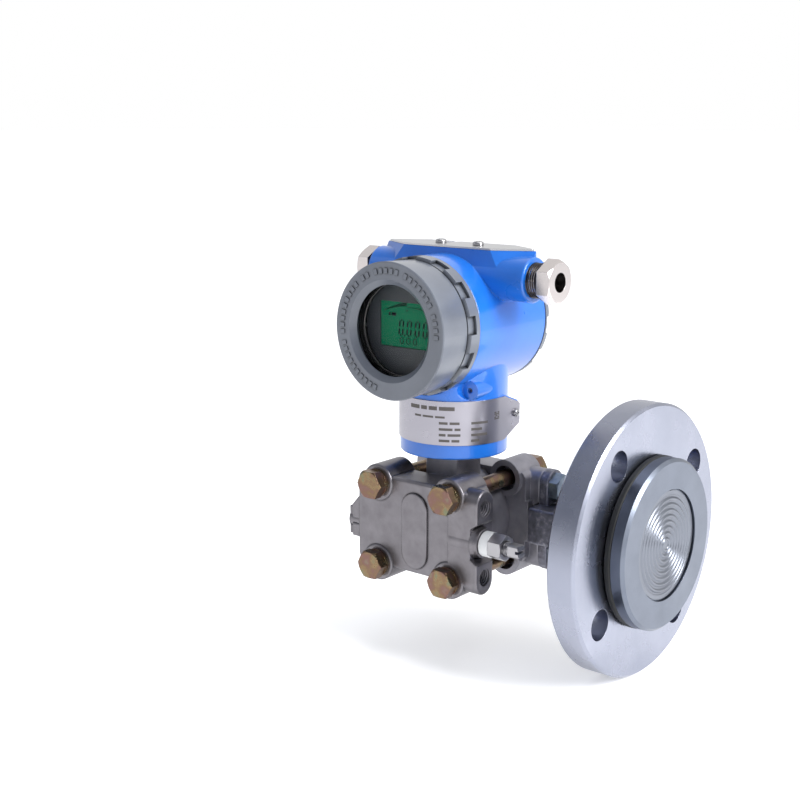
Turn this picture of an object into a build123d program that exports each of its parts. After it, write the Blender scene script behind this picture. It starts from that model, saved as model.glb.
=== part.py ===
from build123d import *
import math
import os

# Differential pressure transmitter with one flanged diaphragm seal.
# Lengths are millimetres. X runs towards the mounting flange, Y away from the display, Z up.
# Pieces are built about the neck axis at the height of the ports, and saved about the flange.

# Clearances
FACE_GAP = 0.1
TURNING_GAP = 0.05
SCREW_GAP = 0.1
COVER_GAP = 0.3
SLIDING_GAP = 0.2

# Mounting flange and seal
FLANGE_R = 80.0
FLANGE_THICKNESS = 18.0
BOLT_CIRCLE_R = 62.5
FLANGE_HOLE_R = 9.0
FLANGE_HOLE_COUNT = 4
FLANGE_HOLE_TURN = 35.0
FLANGE_EDGE = 1.5
SPACER_RING_THICKNESS = 4.4
SPACER_RING_R = 50.4
SEAL_DISC_R = 50.0
SEAL_DISC_THICKNESS = 8.0
SEAL_DISC_EDGE = 1.8
SEAL_HUB_R = 42.0
SEAL_STEM_R = 22.0
DIAPHRAGM_R = 31.7
DIAPHRAGM_THICKNESS = 0.4
DIAPHRAGM_WAVES = 8
DIAPHRAGM_WAVE_HEIGHT = 0.45
DIAPHRAGM_FLAT = 2.5
DIAPHRAGM_RECESS = 1.6
WELD_GROOVE_WIDTH = 0.9
WELD_GROOVE_DEPTH = 0.5
FILL_BORE_R = 2.0
SEAL_NECK_LENGTH = 33.0
SEAL_NECK_R = 13.0
SEAL_NECK_SHOULDER_R = 27.0
SEAL_NECK_SHOULDER_LENGTH = 6.0

# Process flanges and the cell between them
PORT_OFFSET = 31.7
CELL_HALF = 18.4
CELL_R = 29.0
CASTING_DEPTH = 20.6
BOSS_STEP = 1.0
BOSS_R = 11.2
BOSS_INNER_Y = 16.5
BOLT_X = 26.65
BOLT_Z = 24.92
PLATE_PORT_X = 40.5
PLATE_DRAIN_X = 43.0
PLATE_TOP = 30.0
PLATE_BOTTOM = -26.5
PLATE_CORNER = 5.0
PLATE_EDGE = 2.0
SIDE_FACE_X = 47.2
SIDE_STEP_X = 42.5
RECESS_FLOOR_HALF = 9.0
RECESS_MOUTH_HALF = 12.4
PORT_BOSS_R = 8.6
PORT_BOSS_FLARE = 1.0
SIDE_HOLE_SPACING = 41.3
SIDE_HOLE_DEPTH = 14.0
TIP_ROOM = 2.0
EAR_R = 8.2
EAR_RISE = 2.2
PORT_BODY_HALF_Z = 13.0
PORT_THREAD_R = 6.8
PORT_THREAD_DEPTH = 16.0
PORT_PASSAGE_R = 3.0
CHAMBER_R = 21.0
CHAMBER_DEPTH = 2.0
DRAIN_FACE_X = 50.7
DRAIN_TOP = 6.0
DRAIN_BOTTOM = -11.6
DRAIN_DEPTH_Y = 15.0
DRAIN_SHOULDER = 7.5
DRAIN_LIP = 2.2
OBLONG_WIDTH = 19.0
OBLONG_HEIGHT = 46.0
OBLONG_X = 1.5
OBLONG_STEP = 1.3
COUNTERBORE_R = 7.6
COUNTERBORE_DEPTH = 9.0
CAST_EDGE = 1.2
O_RING_SECTION_R = 1.4
O_RING_R = 24.0
ISOLATOR_R = 19.5
ISOLATOR_THICKNESS = 0.4
ISOLATOR_WAVES = 5
ISOLATOR_WAVE_HEIGHT = 0.3
SQUARE_NECK_HALF = 12.0

# Fasteners, M10 unless named
BOLT_R = 4.95
BOLT_HOLE_R = 5.05
HEX_FLATS = 16.0
HEAD_HEIGHT = 6.3
NUT_HEIGHT = 8.2
WASHER_R = 8.6
WASHER_THICKNESS = 2.0
BOLT_END_REACH = 2.5
HEX_CHAMFER_SHARE = 0.99
HEX_CHAMFER_ANGLE = 30.0

# Vent valve
VENT_TAPE_R = 7.4
VENT_TAPE_LENGTH = 6.4
VENT_TAPE_EDGE = 0.5
VENT_HEX_FLATS = 13.5
VENT_HEX_LENGTH = 8.8
VENT_SEAT_R = 5.0
VENT_SEAT_DEPTH = 1.4
VENT_STEM_OUT = 2.7
VENT_STEM_R = 3.4
VENT_STEM_FLATS = 7.2
VENT_STEM_HEAD_LENGTH = 7.3
VENT_STEM_REACH = 12.0
VENT_SLOT_WIDTH = 1.6
VENT_SLOT_DEPTH = 2.0
PLUG_HEAD_DEPTH = 8.0
PLUG_SOCKET_FLATS = 6.0
PLUG_SOCKET_DEPTH = 5.0

# Flange adapter
ADAPTER_EAR_THICKNESS = 6.0
ADAPTER_EAR_R = 8.6
ADAPTER_LENGTH = 18.8
ADAPTER_HALF_Y = 20.0
ADAPTER_HALF_Z = 11.0
ADAPTER_EDGE = 2.0
GASKET_INNER_R = 7.2
GASKET_OUTER_R = 8.4
GASKET_THICKNESS = 2.0

# Housing
BARREL_Z = 121.2
BARREL_R = 40.0
BARREL_FRONT_Y = -29.0
BARREL_REAR_Y = 37.0
BARREL_EDGE = 1.0
NOSE_WALL = 4.4
NOSE_LENGTH = 13.0
MID_WALL_Y = -13.0
MID_WALL_THICKNESS = 4.0
CONDUIT_Z = 148.6
CONDUIT_BOSS_R = 13.0
CONDUIT_END_X = 56.7
CONDUIT_THREAD_R = 10.1
CONDUIT_THREAD_DEPTH = 21.0
CONDUIT_PASSAGE_R = 7.0
BLOCK_RISE = 3.3
BLOCK_MID_Y = 4.0
BLOCK_FLAT_X = 31.5
BLOCK_HALF_Y = 13.0
BLOCK_FOOT_FLAT_X = 42.0
BLOCK_FOOT_HALF_Y = 12.6
BLOCK_END_SLOPE = 1.73
NECK_R = 32.3
SKIRT_BOTTOM_Z = 43.2
SKIRT_FLOOR = 5.0
CAN_R = 26.0
CAN_ROOF = 2.9
CAN_WALL = 3.5
WIRE_HOLE_R = 6.0
BAND_THICKNESS = 0.65
BAND_BOTTOM_Z = 52.0
BAND_TOP_Z = 78.0
TAB_FLAT_Y = 6.0
TAB_END_Y = 21.5
TAB_FOOT_RISE = 7.8
TAB_TOP_DROP = 5.2
TAB_CORNER = 1.5
LUG_MARGIN = 0.9
LUG_INSET = 0.4
LUG_DEPTH = 14.0
BAND_SCREW_Y = 17.1
BAND_SCREW_Z = 66.4
BAND_SCREW_R = 1.5
BAND_SCREW_LENGTH = 8.0
BAND_HEAD_R = 2.4
BAND_HEAD_HEIGHT = 1.7
SET_BOSS_R = 5.5
SET_BOSS_FACE_Y = -19.5
SET_BOSS_LENGTH = 24.5
SET_SCREW_X = 26.4
SET_SCREW_DROP = 2.8
SET_SCREW_R = 1.5
SET_SCREW_LENGTH = 20.0
SET_SCREW_SINK = 2.0

# Covers
COVER_RIM_R = 40.2
COVER_WALL = 2.9
COVER_FLARE = 1.0
COVER_FRONT_Y = -61.3
COVER_EDGE = 0.6
RIM_LENGTH = 8.2
RIM_SLOPE = 0.8
RIM_STEP = 1.9
RIM_GROOVE_DEPTH = 0.6
RIM_GROOVE_WIDTH = 0.7
NOTCH_COUNT = 12
NOTCH_ARC = 15.0
NOTCH_TURN = -1.5
NOTCH_START = 3.3
NOTCH_DEPTH = 1.8
WINDOW_SEAT = 4.2
WINDOW_BEVEL = 3.2
WINDOW_LIP = 3.4
GLASS_STEP = 1.3
GLASS_THICKNESS = 6.0
GASKET_SHEET = 0.8
RETAINER_STEP = 3.9
RETAINER_WIDTH = 4.5
RETAINER_THICKNESS = 3.0
COVER_O_RING_LENGTH = 2.4
COVER_O_RING_WIDTH = 2.2
BLANK_THICKNESS = 4.2
BLANK_SLOPE = 1.2
BLANK_NOTCH_START = 0.9
BLANK_PLUG_LENGTH = 8.0
BLANK_DISC_R = 24.5
BLANK_DISC_DEPTH = 1.2
LOBE_COUNT = 6
LOBE_GROOVE_WIDTH = 5.0
LOBE_GROOVE_DEPTH = 1.6
DASH_MARGIN = 3.7
DASH_LENGTH = 3.0
DASH_HEIGHT = 0.5
DASH_ARC = 4.0
DASH_GAP = 2.4
DASH_COUNTS = (4, 7, 5, 2, 9, 10)
DASH_GROUP_GAP = 4.6

# Display and electronics
MODULE_GAP = 0.4
MODULE_LENGTH = 19.0
BEZEL_THICKNESS = 3.5
BEZEL_FRONT_Y = -46.5
LCD_WIDTH = 37.0
LCD_HEIGHT = 26.0
LCD_CENTRE_RISE = 1.8
LCD_MARGIN = 1.5
LCD_THICKNESS = 2.4
BOARD_THICKNESS = 1.6
STANDOFF_R = 2.5
STANDOFF_MARGIN = 4.6
AMPLIFIER_RISE = 13.0
MODULE_SCREW_R = 1.5
MODULE_SCREW_HEAD_R = 2.8
MODULE_SCREW_HEAD = 1.8
TERMINAL_HALF_X = 24.0
TERMINAL_BOTTOM = 22.0
TERMINAL_TOP = 9.0
TERMINAL_DEPTH = 14.0
TERMINAL_COUNT = 3
TERMINAL_PITCH = 13.0
TERMINAL_SCREW_R = 3.4
TERMINAL_SCREW_HEAD = 2.2

# Tag plate and buttons
TAG_THICKNESS = 1.0
TAG_CORNER = 1.5
TAG_SCREW_X = 13.7
TAG_SCREW_R = 1.95
TAG_HEAD_R = 3.3
TAG_HEAD_HEIGHT = 2.1
TAG_SCREW_LENGTH = 3.5
BUTTON_X = 31.0
BUTTON_Y = 8.0
BUTTON_R = 3.6
BUTTON_HEIGHT = 3.0
BUTTON_TRAVEL = 1.5
BUTTON_WELL_DEPTH = 7.5
BUTTON_SINK = 0.5
SPRING_WIRE_R = 0.3
SPRING_COIL_R = 2.4
SPRING_TURNS = 3.0

# Conduit gland and plug
GLAND_FLATS = 22.5
GLAND_HEX_START_X = 64.8
GLAND_HEX_LENGTH = 8.5
GLAND_BORE_R = 5.6
GLAND_THREAD_R = 9.35
GLAND_SEAL_R = 11.2
GLAND_SEAL_THICKNESS = 1.1
GLAND_SEAL_EDGE = 0.4
GLAND_THREAD_REACH = 13.5
GLAND_WASHER_THICKNESS = 1.5
GLAND_RUBBER_BORE_R = 3.5
PLUG_FLATS = 22.0
PLUG_HEX_LENGTH = 8.5
PLUG_STAND_OFF = 2.0
PLUG_THREAD_LENGTH = 14.0

# Worked out places
FLANGE_REAR_X = SIDE_FACE_X + ADAPTER_LENGTH + SEAL_NECK_LENGTH + FACE_GAP
FLANGE_FACE_X = FLANGE_REAR_X + FLANGE_THICKNESS
DISC_BACK_X = FLANGE_FACE_X + FACE_GAP + SPACER_RING_THICKNESS
DISC_FACE_X = DISC_BACK_X + SEAL_DISC_THICKNESS
CASTING_FACE_Y = CELL_HALF + CASTING_DEPTH
BOSS_FACE_Y = CASTING_FACE_Y + BOSS_STEP
HEAD_BASE_Y = BOSS_FACE_Y + WASHER_THICKNESS
COVER_R = COVER_RIM_R - RIM_STEP
COVER_FRONT_R = COVER_R + COVER_FLARE
NOTCH_FLOOR_R = COVER_RIM_R - NOTCH_DEPTH
NOSE_R = COVER_R - COVER_WALL
CAVITY_R = NOSE_R - NOSE_WALL
COVER_O_RING_R = NOSE_R + COVER_O_RING_WIDTH
RETAINER_R = NOSE_R - RETAINER_STEP
RETAINER_INNER_R = RETAINER_R - RETAINER_WIDTH
GLASS_R = RETAINER_R - GLASS_STEP
WINDOW_R = GLASS_R - WINDOW_SEAT
DASH_OUTER_R = COVER_FRONT_R - DASH_MARGIN
DASH_INNER_R = DASH_OUTER_R - DASH_LENGTH
MODULE_R = CAVITY_R - MODULE_GAP
STANDOFF_CIRCLE_R = MODULE_R - STANDOFF_MARGIN
CAVITY_FLOOR_Z = BARREL_Z - CAVITY_R
CAN_TOP_Z = CAVITY_FLOOR_Z - CAN_ROOF
SET_SCREW_Z = CAN_TOP_Z - SET_SCREW_DROP
BLOCK_TOP_Z = BARREL_Z + BARREL_R + BLOCK_RISE
TAG_TOP_Z = BLOCK_TOP_Z + FACE_GAP + TAG_THICKNESS
MODULE_BACK_Y = MID_WALL_Y - MID_WALL_THICKNESS
MODULE_FRONT_Y = MODULE_BACK_Y - MODULE_LENGTH
BEZEL_BACK_Y = BEZEL_FRONT_Y + BEZEL_THICKNESS
COVER_REAR_Y = BARREL_FRONT_Y - FACE_GAP
REAR_COVER_START_Y = BARREL_REAR_Y + FACE_GAP
BAND_R = NECK_R + FACE_GAP + BAND_THICKNESS
TO_PLUS_X = Rot(0, 90, 0)
TO_MINUS_X = Rot(0, -90, 0)
TO_PLUS_Y = Rot(-90, 0, 0)
TO_MINUS_Y = Rot(90, 0, 0)
ON_BASE = (Align.CENTER, Align.CENTER, Align.MIN)
TO_ROW = Location((-FLANGE_FACE_X, -PORT_OFFSET, 0))


def save(name, shape):
    """Write one piece in the frame of the mounting flange."""
    placed = TO_ROW * shape
    placed.label = name
    export_step(placed, os.path.join("parts", name + ".step"))


def post(radius, height):
    """Cylinder standing on the origin along Z."""
    return Cylinder(radius, height, align=ON_BASE)


def tube(outer, inner, height):
    """Ring standing on the origin along Z."""
    return post(outer, height) - post(inner, height)


def block(x0, x1, y0, y1, z0, z1):
    """Box between two corners."""
    centre = Pos((x0 + x1) / 2, (y0 + y1) / 2, (z0 + z1) / 2)
    return centre * Box(x1 - x0, y1 - y0, z1 - z0)


def hexagon(flats, height):
    """Plain hexagonal bar along Z."""
    return extrude(RegularPolygon(flats / 2, 6, major_radius=False), height)


def hex_head(flats, height):
    """Hexagon along Z whose far corners are chamfered round."""
    corner = flats / math.sqrt(3)
    flat = HEX_CHAMFER_SHARE * flats / 2
    drop = (corner - flat) * math.tan(math.radians(HEX_CHAMFER_ANGLE))
    crown = Cone(corner, flat, drop, align=ON_BASE)
    envelope = post(corner, height - drop) + Pos(0, 0, height - drop) * crown
    return hexagon(flats, height) & envelope


def hex_bolt(shank_length):
    """Hex head above the origin with its shank below it."""
    head = hex_head(HEX_FLATS, HEAD_HEIGHT)
    shank = Pos(0, 0, -shank_length) * post(BOLT_R, shank_length)
    return head + shank


def pan_screw(shank_radius, shank_length, head_radius, head_height):
    """Domed head above the origin with a cross slot and a shank below."""
    head = post(head_radius, head_height)
    head = fillet(head.edges().group_by(Axis.Z)[-1], head_height * 0.6)
    slot_width = head_radius * 0.3
    cross = Box(head_radius * 1.2, slot_width, head_height) + Box(slot_width, head_radius * 1.2, head_height)
    head = head - Pos(0, 0, head_height) * cross
    shank = Pos(0, 0, -shank_length) * post(shank_radius, shank_length)
    return head + shank


def corrugated_disc(radius, thickness, waves, height, flat):
    """Thin disc about Z with concentric rings, its rim's top face at the origin."""
    step = (radius - 2 * flat) / (2 * waves)
    edges = [Line((0, 0), (0, -thickness)), Line((radius, 0), (radius, -thickness))]
    for level in (0, -thickness):
        edges.append(Line((0, level), (flat, level)))
        edges.append(Line((radius - flat, level), (radius, level)))
        for index in range(2 * waves):
            start = flat + index * step
            crest = level + height * (-1) ** index
            edges.append(ThreePointArc((start, level), (start + step / 2, crest), (start + step, level)))
    section = Plane.XZ * make_face(edges)
    return revolve(section, Axis.Z)


def turned(points, axis_turn):
    """Turned piece from a list of (radius, height) points about Z, laid along another axis."""
    section = Plane.XZ * make_face(Polyline(*points, close=True))
    return axis_turn * revolve(section, Axis.Z)


def both_sides(shape):
    """The shape and its mirror image across the display plane."""
    return [shape, mirror(shape, about=Plane.XZ)]


def rims_outside(shape, radius):
    """Circular edges wider than a radius."""
    return [edge for edge in shape.edges().filter_by(GeomType.CIRCLE) if edge.radius > radius]


# Mounting flange, turning loose on the stem of the seal

def make_mounting_flange():
    """Loose steel ring with a bolt circle, drawn with its holes as they stand in use."""
    bore = SEAL_STEM_R + TURNING_GAP
    ring = tube(FLANGE_R, bore, FLANGE_THICKNESS)
    ring = chamfer(rims_outside(ring, bore + 1), FLANGE_EDGE)
    holes = PolarLocations(BOLT_CIRCLE_R, FLANGE_HOLE_COUNT, start_angle=FLANGE_HOLE_TURN)
    for place in holes:
        drill = post(FLANGE_HOLE_R, FLANGE_THICKNESS)
        ring = ring - place * drill
    return Pos(FLANGE_REAR_X, PORT_OFFSET, 0) * (Plane.YZ * ring)


def make_seal_body():
    """Stepped disc with its stem, a recess for the diaphragm and the fill bore."""
    stem_back = FLANGE_REAR_X - FACE_GAP
    hub_back = FLANGE_FACE_X + FACE_GAP
    face = DISC_FACE_X - stem_back
    back = DISC_BACK_X - stem_back
    hub = hub_back - stem_back
    ledge = face - DIAPHRAGM_RECESS
    groove_r = DIAPHRAGM_R + WELD_GROOVE_WIDTH
    points = [
        (FILL_BORE_R, 0),
        (SEAL_STEM_R, 0),
        (SEAL_STEM_R, hub),
        (SEAL_HUB_R, hub),
        (SEAL_HUB_R, back),
        (SEAL_DISC_R, back),
        (SEAL_DISC_R, face - SEAL_DISC_EDGE),
        (SEAL_DISC_R - SEAL_DISC_EDGE, face),
        (groove_r, face),
        (groove_r, ledge - WELD_GROOVE_DEPTH),
        (DIAPHRAGM_R, ledge - WELD_GROOVE_DEPTH),
        (DIAPHRAGM_R, ledge),
        (DIAPHRAGM_R - DIAPHRAGM_FLAT, ledge),
        (DIAPHRAGM_R - DIAPHRAGM_FLAT, ledge - 2 * DIAPHRAGM_WAVE_HEIGHT),
        (FILL_BORE_R, ledge - 2 * DIAPHRAGM_WAVE_HEIGHT),
    ]
    return Pos(stem_back, PORT_OFFSET, 0) * turned(points, TO_PLUS_X)


def make_seal_diaphragm():
    """Corrugated foil welded over the recess of the seal."""
    disc = corrugated_disc(
        DIAPHRAGM_R, DIAPHRAGM_THICKNESS, DIAPHRAGM_WAVES, DIAPHRAGM_WAVE_HEIGHT, DIAPHRAGM_FLAT
    )
    top = DISC_FACE_X - DIAPHRAGM_RECESS + DIAPHRAGM_THICKNESS
    return Pos(top, PORT_OFFSET, 0) * TO_PLUS_X * disc


def make_spacer_ring():
    """Black rubber ring between the flange and the disc of the seal."""
    ring = tube(SPACER_RING_R, SEAL_HUB_R + SCREW_GAP, SPACER_RING_THICKNESS)
    ring = fillet(rims_outside(ring, SEAL_HUB_R + 1), SPACER_RING_THICKNESS * 0.35)
    return Pos(DISC_BACK_X - SPACER_RING_THICKNESS, PORT_OFFSET, 0) * TO_PLUS_X * ring


def make_seal_neck():
    """Turned neck from the adapter to the back of the seal's stem."""
    length = SEAL_NECK_LENGTH
    shoulder = length - SEAL_NECK_SHOULDER_LENGTH
    cone_start = shoulder - (SEAL_NECK_SHOULDER_R - SEAL_NECK_R)
    points = [
        (FILL_BORE_R, 0),
        (SEAL_NECK_R, 0),
        (SEAL_NECK_R, cone_start),
        (SEAL_NECK_SHOULDER_R, shoulder),
        (SEAL_NECK_SHOULDER_R, length),
        (FILL_BORE_R, length),
    ]
    start = FLANGE_REAR_X - FACE_GAP - length
    return Pos(start, PORT_OFFSET, 0) * turned(points, TO_PLUS_X)


# Process flanges, drawn for the front one with its outer face towards -Y

def make_process_flange():
    """Casting with four bolt bosses, side ears, a port and a closed drain boss."""
    core = block(-PLATE_DRAIN_X, PLATE_PORT_X, -CASTING_FACE_Y, -CELL_HALF, PLATE_BOTTOM, PLATE_TOP)
    core = fillet(core.edges().filter_by(Axis.Y), PLATE_CORNER)
    core = fillet(core.edges().group_by(Axis.Y)[0], PLATE_EDGE)
    front = -CASTING_FACE_Y + CAST_EDGE
    port_body = block(0, SIDE_STEP_X, front, -CELL_HALF, -PORT_BODY_HALF_Z, PORT_BODY_HALF_Z)
    port_body = fillet(port_body.edges().filter_by(Axis.X), CAST_EDGE)
    root = post(PORT_BOSS_R, SIDE_FACE_X - BOLT_X)
    boss_out = SIDE_FACE_X - SIDE_STEP_X
    flare = Cone(PORT_BOSS_R + PORT_BOSS_FLARE, PORT_BOSS_R, boss_out / 2, align=ON_BASE)
    port_boss = Pos(BOLT_X, -PORT_OFFSET, 0) * TO_PLUS_X * root
    port_boss = port_boss + Pos(SIDE_STEP_X, -PORT_OFFSET, 0) * TO_PLUS_X * flare
    drain = block(-DRAIN_FACE_X, 0, front, front + DRAIN_DEPTH_Y, DRAIN_BOTTOM, DRAIN_TOP)
    drain = fillet(drain.edges().filter_by(Axis.X) + drain.edges().group_by(Axis.X)[0], CAST_EDGE / 2)
    shoulder = Polyline(
        (0, DRAIN_TOP + DRAIN_SHOULDER),
        (-PLATE_DRAIN_X, DRAIN_TOP + DRAIN_SHOULDER),
        (-DRAIN_FACE_X + DRAIN_LIP, DRAIN_TOP + CAST_EDGE),
        (-DRAIN_FACE_X + DRAIN_LIP, DRAIN_BOTTOM - CAST_EDGE),
        (0, DRAIN_BOTTOM - CAST_EDGE),
        close=True,
    )
    web = extrude(Plane.XZ * make_face(shoulder), -DRAIN_DEPTH_Y - CAST_EDGE)
    web = Pos(0, -CASTING_FACE_Y + CAST_EDGE / 2, 0) * fillet(web.edges().group_by(Axis.Y)[0], CAST_EDGE)
    casting = core + port_body + drain + web
    boss_length = BOSS_FACE_Y - BOSS_INNER_Y
    for x in (-BOLT_X, BOLT_X):
        for z in (-BOLT_Z, BOLT_Z):
            boss = post(BOSS_R, boss_length)
            boss = fillet(boss.edges().group_by(Axis.Z)[-1], CAST_EDGE)
            casting = casting + Pos(x, -BOSS_INNER_Y, z) * TO_MINUS_Y * boss
    ear_outline = SlotCenterToCenter(SIDE_HOLE_SPACING + 2 * EAR_RISE, 2 * EAR_R, rotation=90)
    ears = extrude(Plane.YZ * ear_outline, SIDE_FACE_X - BOLT_X)
    ears = fillet(ears.edges().group_by(Axis.X)[-1], CAST_EDGE)
    recess = Polyline(
        (SIDE_STEP_X - BOLT_X, -RECESS_FLOOR_HALF),
        (SIDE_FACE_X - BOLT_X, -RECESS_MOUTH_HALF),
        (SIDE_FACE_X - BOLT_X, RECESS_MOUTH_HALF),
        (SIDE_STEP_X - BOLT_X, RECESS_FLOOR_HALF),
        close=True,
    )
    recess = extrude(Plane.XZ * make_face(recess), PORT_OFFSET, both=True)
    casting = casting + Pos(BOLT_X, -PORT_OFFSET, 0) * (ears - recess) + port_boss
    oblong = SlotCenterToCenter(OBLONG_HEIGHT - OBLONG_WIDTH, OBLONG_WIDTH, rotation=90)
    pad = extrude(Plane.XZ * oblong, OBLONG_STEP + CAST_EDGE)
    pad = fillet(pad.edges().group_by(Axis.Y)[0], OBLONG_STEP / 2)
    return casting + Pos(OBLONG_X, -CASTING_FACE_Y + CAST_EDGE, 0) * pad


def cut_process_flange(casting):
    """Bolt holes, threaded side holes, port, drain thread, chamber and O-ring seat."""
    depth = BOSS_FACE_Y - BOSS_INNER_Y
    for x in (-BOLT_X, BOLT_X):
        for z in (-BOLT_Z, BOLT_Z):
            start = Pos(x, -BOSS_INNER_Y, z) * TO_MINUS_Y
            casting = casting - start * post(BOLT_HOLE_R, depth)
            casting = casting - start * post(COUNTERBORE_R, COUNTERBORE_DEPTH)
    for side in (-1, 1):
        mouth = Pos(SIDE_FACE_X, -PORT_OFFSET, side * SIDE_HOLE_SPACING / 2) * TO_MINUS_X
        casting = casting - mouth * post(BOLT_HOLE_R, SIDE_HOLE_DEPTH)
    port = Pos(SIDE_FACE_X, -PORT_OFFSET, 0) * TO_MINUS_X
    casting = casting - port * post(PORT_THREAD_R, PORT_THREAD_DEPTH)
    drain = Pos(-DRAIN_FACE_X, -PORT_OFFSET, (DRAIN_TOP + DRAIN_BOTTOM) / 2) * TO_PLUS_X
    casting = casting - drain * post(PORT_THREAD_R, PLUG_HEAD_DEPTH)
    casting = casting - port * post(PORT_PASSAGE_R, SIDE_FACE_X)
    down = Pos(0, -CELL_HALF, 0) * TO_MINUS_Y
    casting = casting - down * post(PORT_PASSAGE_R, PORT_OFFSET - CELL_HALF)
    casting = casting - down * post(CHAMBER_R, CHAMBER_DEPTH)
    cell_room = post(CELL_R + COVER_GAP, CELL_HALF - BOSS_INNER_Y)
    casting = casting - Pos(0, -BOSS_INNER_Y, 0) * TO_MINUS_Y * cell_room
    seat = tube(O_RING_R + O_RING_SECTION_R, O_RING_R - O_RING_SECTION_R, O_RING_SECTION_R * 2)
    return casting - down * seat


def make_process_o_ring():
    """O-ring between the low side flange and the cell."""
    ring = Torus(O_RING_R, O_RING_SECTION_R - FACE_GAP)
    return Pos(0, -CELL_HALF - O_RING_SECTION_R, 0) * TO_MINUS_Y * ring


def make_isolator():
    """Isolating diaphragm on the low side face of the cell."""
    flat = ISOLATOR_R / 10
    foil = corrugated_disc(ISOLATOR_R, ISOLATOR_THICKNESS, ISOLATOR_WAVES, ISOLATOR_WAVE_HEIGHT, flat)
    face = CELL_HALF - FACE_GAP + ISOLATOR_THICKNESS
    return Pos(0, -face, 0) * TO_MINUS_Y * foil


def make_sensor_cell():
    """Round measuring body between the flanges with its square neck."""
    half = CELL_HALF - FACE_GAP
    disc = Pos(0, half, 0) * TO_MINUS_Y * post(CELL_R, 2 * half)
    neck_top = SKIRT_BOTTOM_Z - COVER_GAP
    neck = block(-SQUARE_NECK_HALF, SQUARE_NECK_HALF, -SQUARE_NECK_HALF, SQUARE_NECK_HALF, 0, neck_top)
    neck = fillet(neck.edges().filter_by(Axis.Z), CAST_EDGE)
    flat = ISOLATOR_R / 10
    hollow = post(ISOLATOR_R - flat, 2 * ISOLATOR_WAVE_HEIGHT)
    cell = disc + neck
    for face in both_sides(Pos(0, -half, 0) * TO_PLUS_Y * hollow):
        cell = cell - face
    return cell


def make_sensor_can():
    """Amplifier can on the square neck, grooved for the screw that keeps the housing on it."""
    bottom = SKIRT_BOTTOM_Z - COVER_GAP
    height = CAN_TOP_Z - bottom
    can = Pos(0, 0, bottom) * post(CAN_R, height)
    room = Pos(0, 0, bottom + SKIRT_FLOOR) * post(CAN_R - CAN_WALL, height - SKIRT_FLOOR - CAN_WALL)
    outlet = Pos(0, 0, bottom + SKIRT_FLOOR) * post(WIRE_HOLE_R, height)
    reach = SET_SCREW_R + COVER_GAP
    groove = Pos(0, 0, SET_SCREW_Z - reach) * tube(CAN_R + 1, SET_SCREW_X - reach, 2 * reach)
    return can - room - outlet - groove


def make_amplifier_board():
    """Round board resting on the floor of the can on its potted capacitor block."""
    floor = SKIRT_BOTTOM_Z - COVER_GAP + SKIRT_FLOOR
    pot = Pos(0, 0, floor) * post((CAN_R - CAN_WALL) / 2, AMPLIFIER_RISE)
    board = post(CAN_R - CAN_WALL - SCREW_GAP, BOARD_THICKNESS)
    return pot + Pos(0, 0, floor + AMPLIFIER_RISE) * board


# Fasteners of the process side

def make_flange_bolts():
    """Four long bolts from the low side flange to beyond the high side nuts."""
    shank = HEAD_BASE_Y + BOSS_FACE_Y + WASHER_THICKNESS + NUT_HEIGHT + BOLT_END_REACH
    bolts = []
    for x in (-BOLT_X, BOLT_X):
        for z in (-BOLT_Z, BOLT_Z):
            bolts.append(Pos(x, -HEAD_BASE_Y, z) * TO_MINUS_Y * hex_bolt(shank))
    return Compound(bolts)


def make_flange_washers():
    """Washers under the four bolt heads and the four nuts."""
    washers = []
    for x in (-BOLT_X, BOLT_X):
        for z in (-BOLT_Z, BOLT_Z):
            ring = tube(WASHER_R, BOLT_HOLE_R, WASHER_THICKNESS)
            washers.append(Pos(x, -BOSS_FACE_Y, z) * TO_MINUS_Y * ring)
            washers.append(Pos(x, BOSS_FACE_Y, z) * TO_PLUS_Y * ring)
    return Compound(washers)


def make_flange_nuts():
    """Four nuts behind the high side flange."""
    nuts = []
    for x in (-BOLT_X, BOLT_X):
        for z in (-BOLT_Z, BOLT_Z):
            nut = hex_head(HEX_FLATS, NUT_HEIGHT) - post(BOLT_HOLE_R, NUT_HEIGHT)
            nuts.append(Pos(x, HEAD_BASE_Y, z) * TO_PLUS_Y * nut)
    return Compound(nuts)


def make_adapter_bolts():
    """Two bolts through the adapter's ears."""
    base = SIDE_FACE_X + FACE_GAP + ADAPTER_EAR_THICKNESS
    shank = base - SIDE_FACE_X + SIDE_HOLE_DEPTH - TIP_ROOM
    bolts = []
    for side in (-1, 1):
        place = Pos(base, PORT_OFFSET, side * SIDE_HOLE_SPACING / 2)
        bolts.append(place * TO_PLUS_X * hex_bolt(shank))
    return Compound(bolts)


def make_side_plugs():
    """Hex socket plugs in the drain bosses of both process flanges."""
    plug = post(PORT_THREAD_R - SCREW_GAP, PLUG_HEAD_DEPTH)
    plug = plug - hexagon(PLUG_SOCKET_FLATS, PLUG_SOCKET_DEPTH)
    middle = (DRAIN_TOP + DRAIN_BOTTOM) / 2
    return Compound(both_sides(Pos(-DRAIN_FACE_X, -PORT_OFFSET, middle) * TO_PLUS_X * plug))


# Vent valve in the low side port

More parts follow.
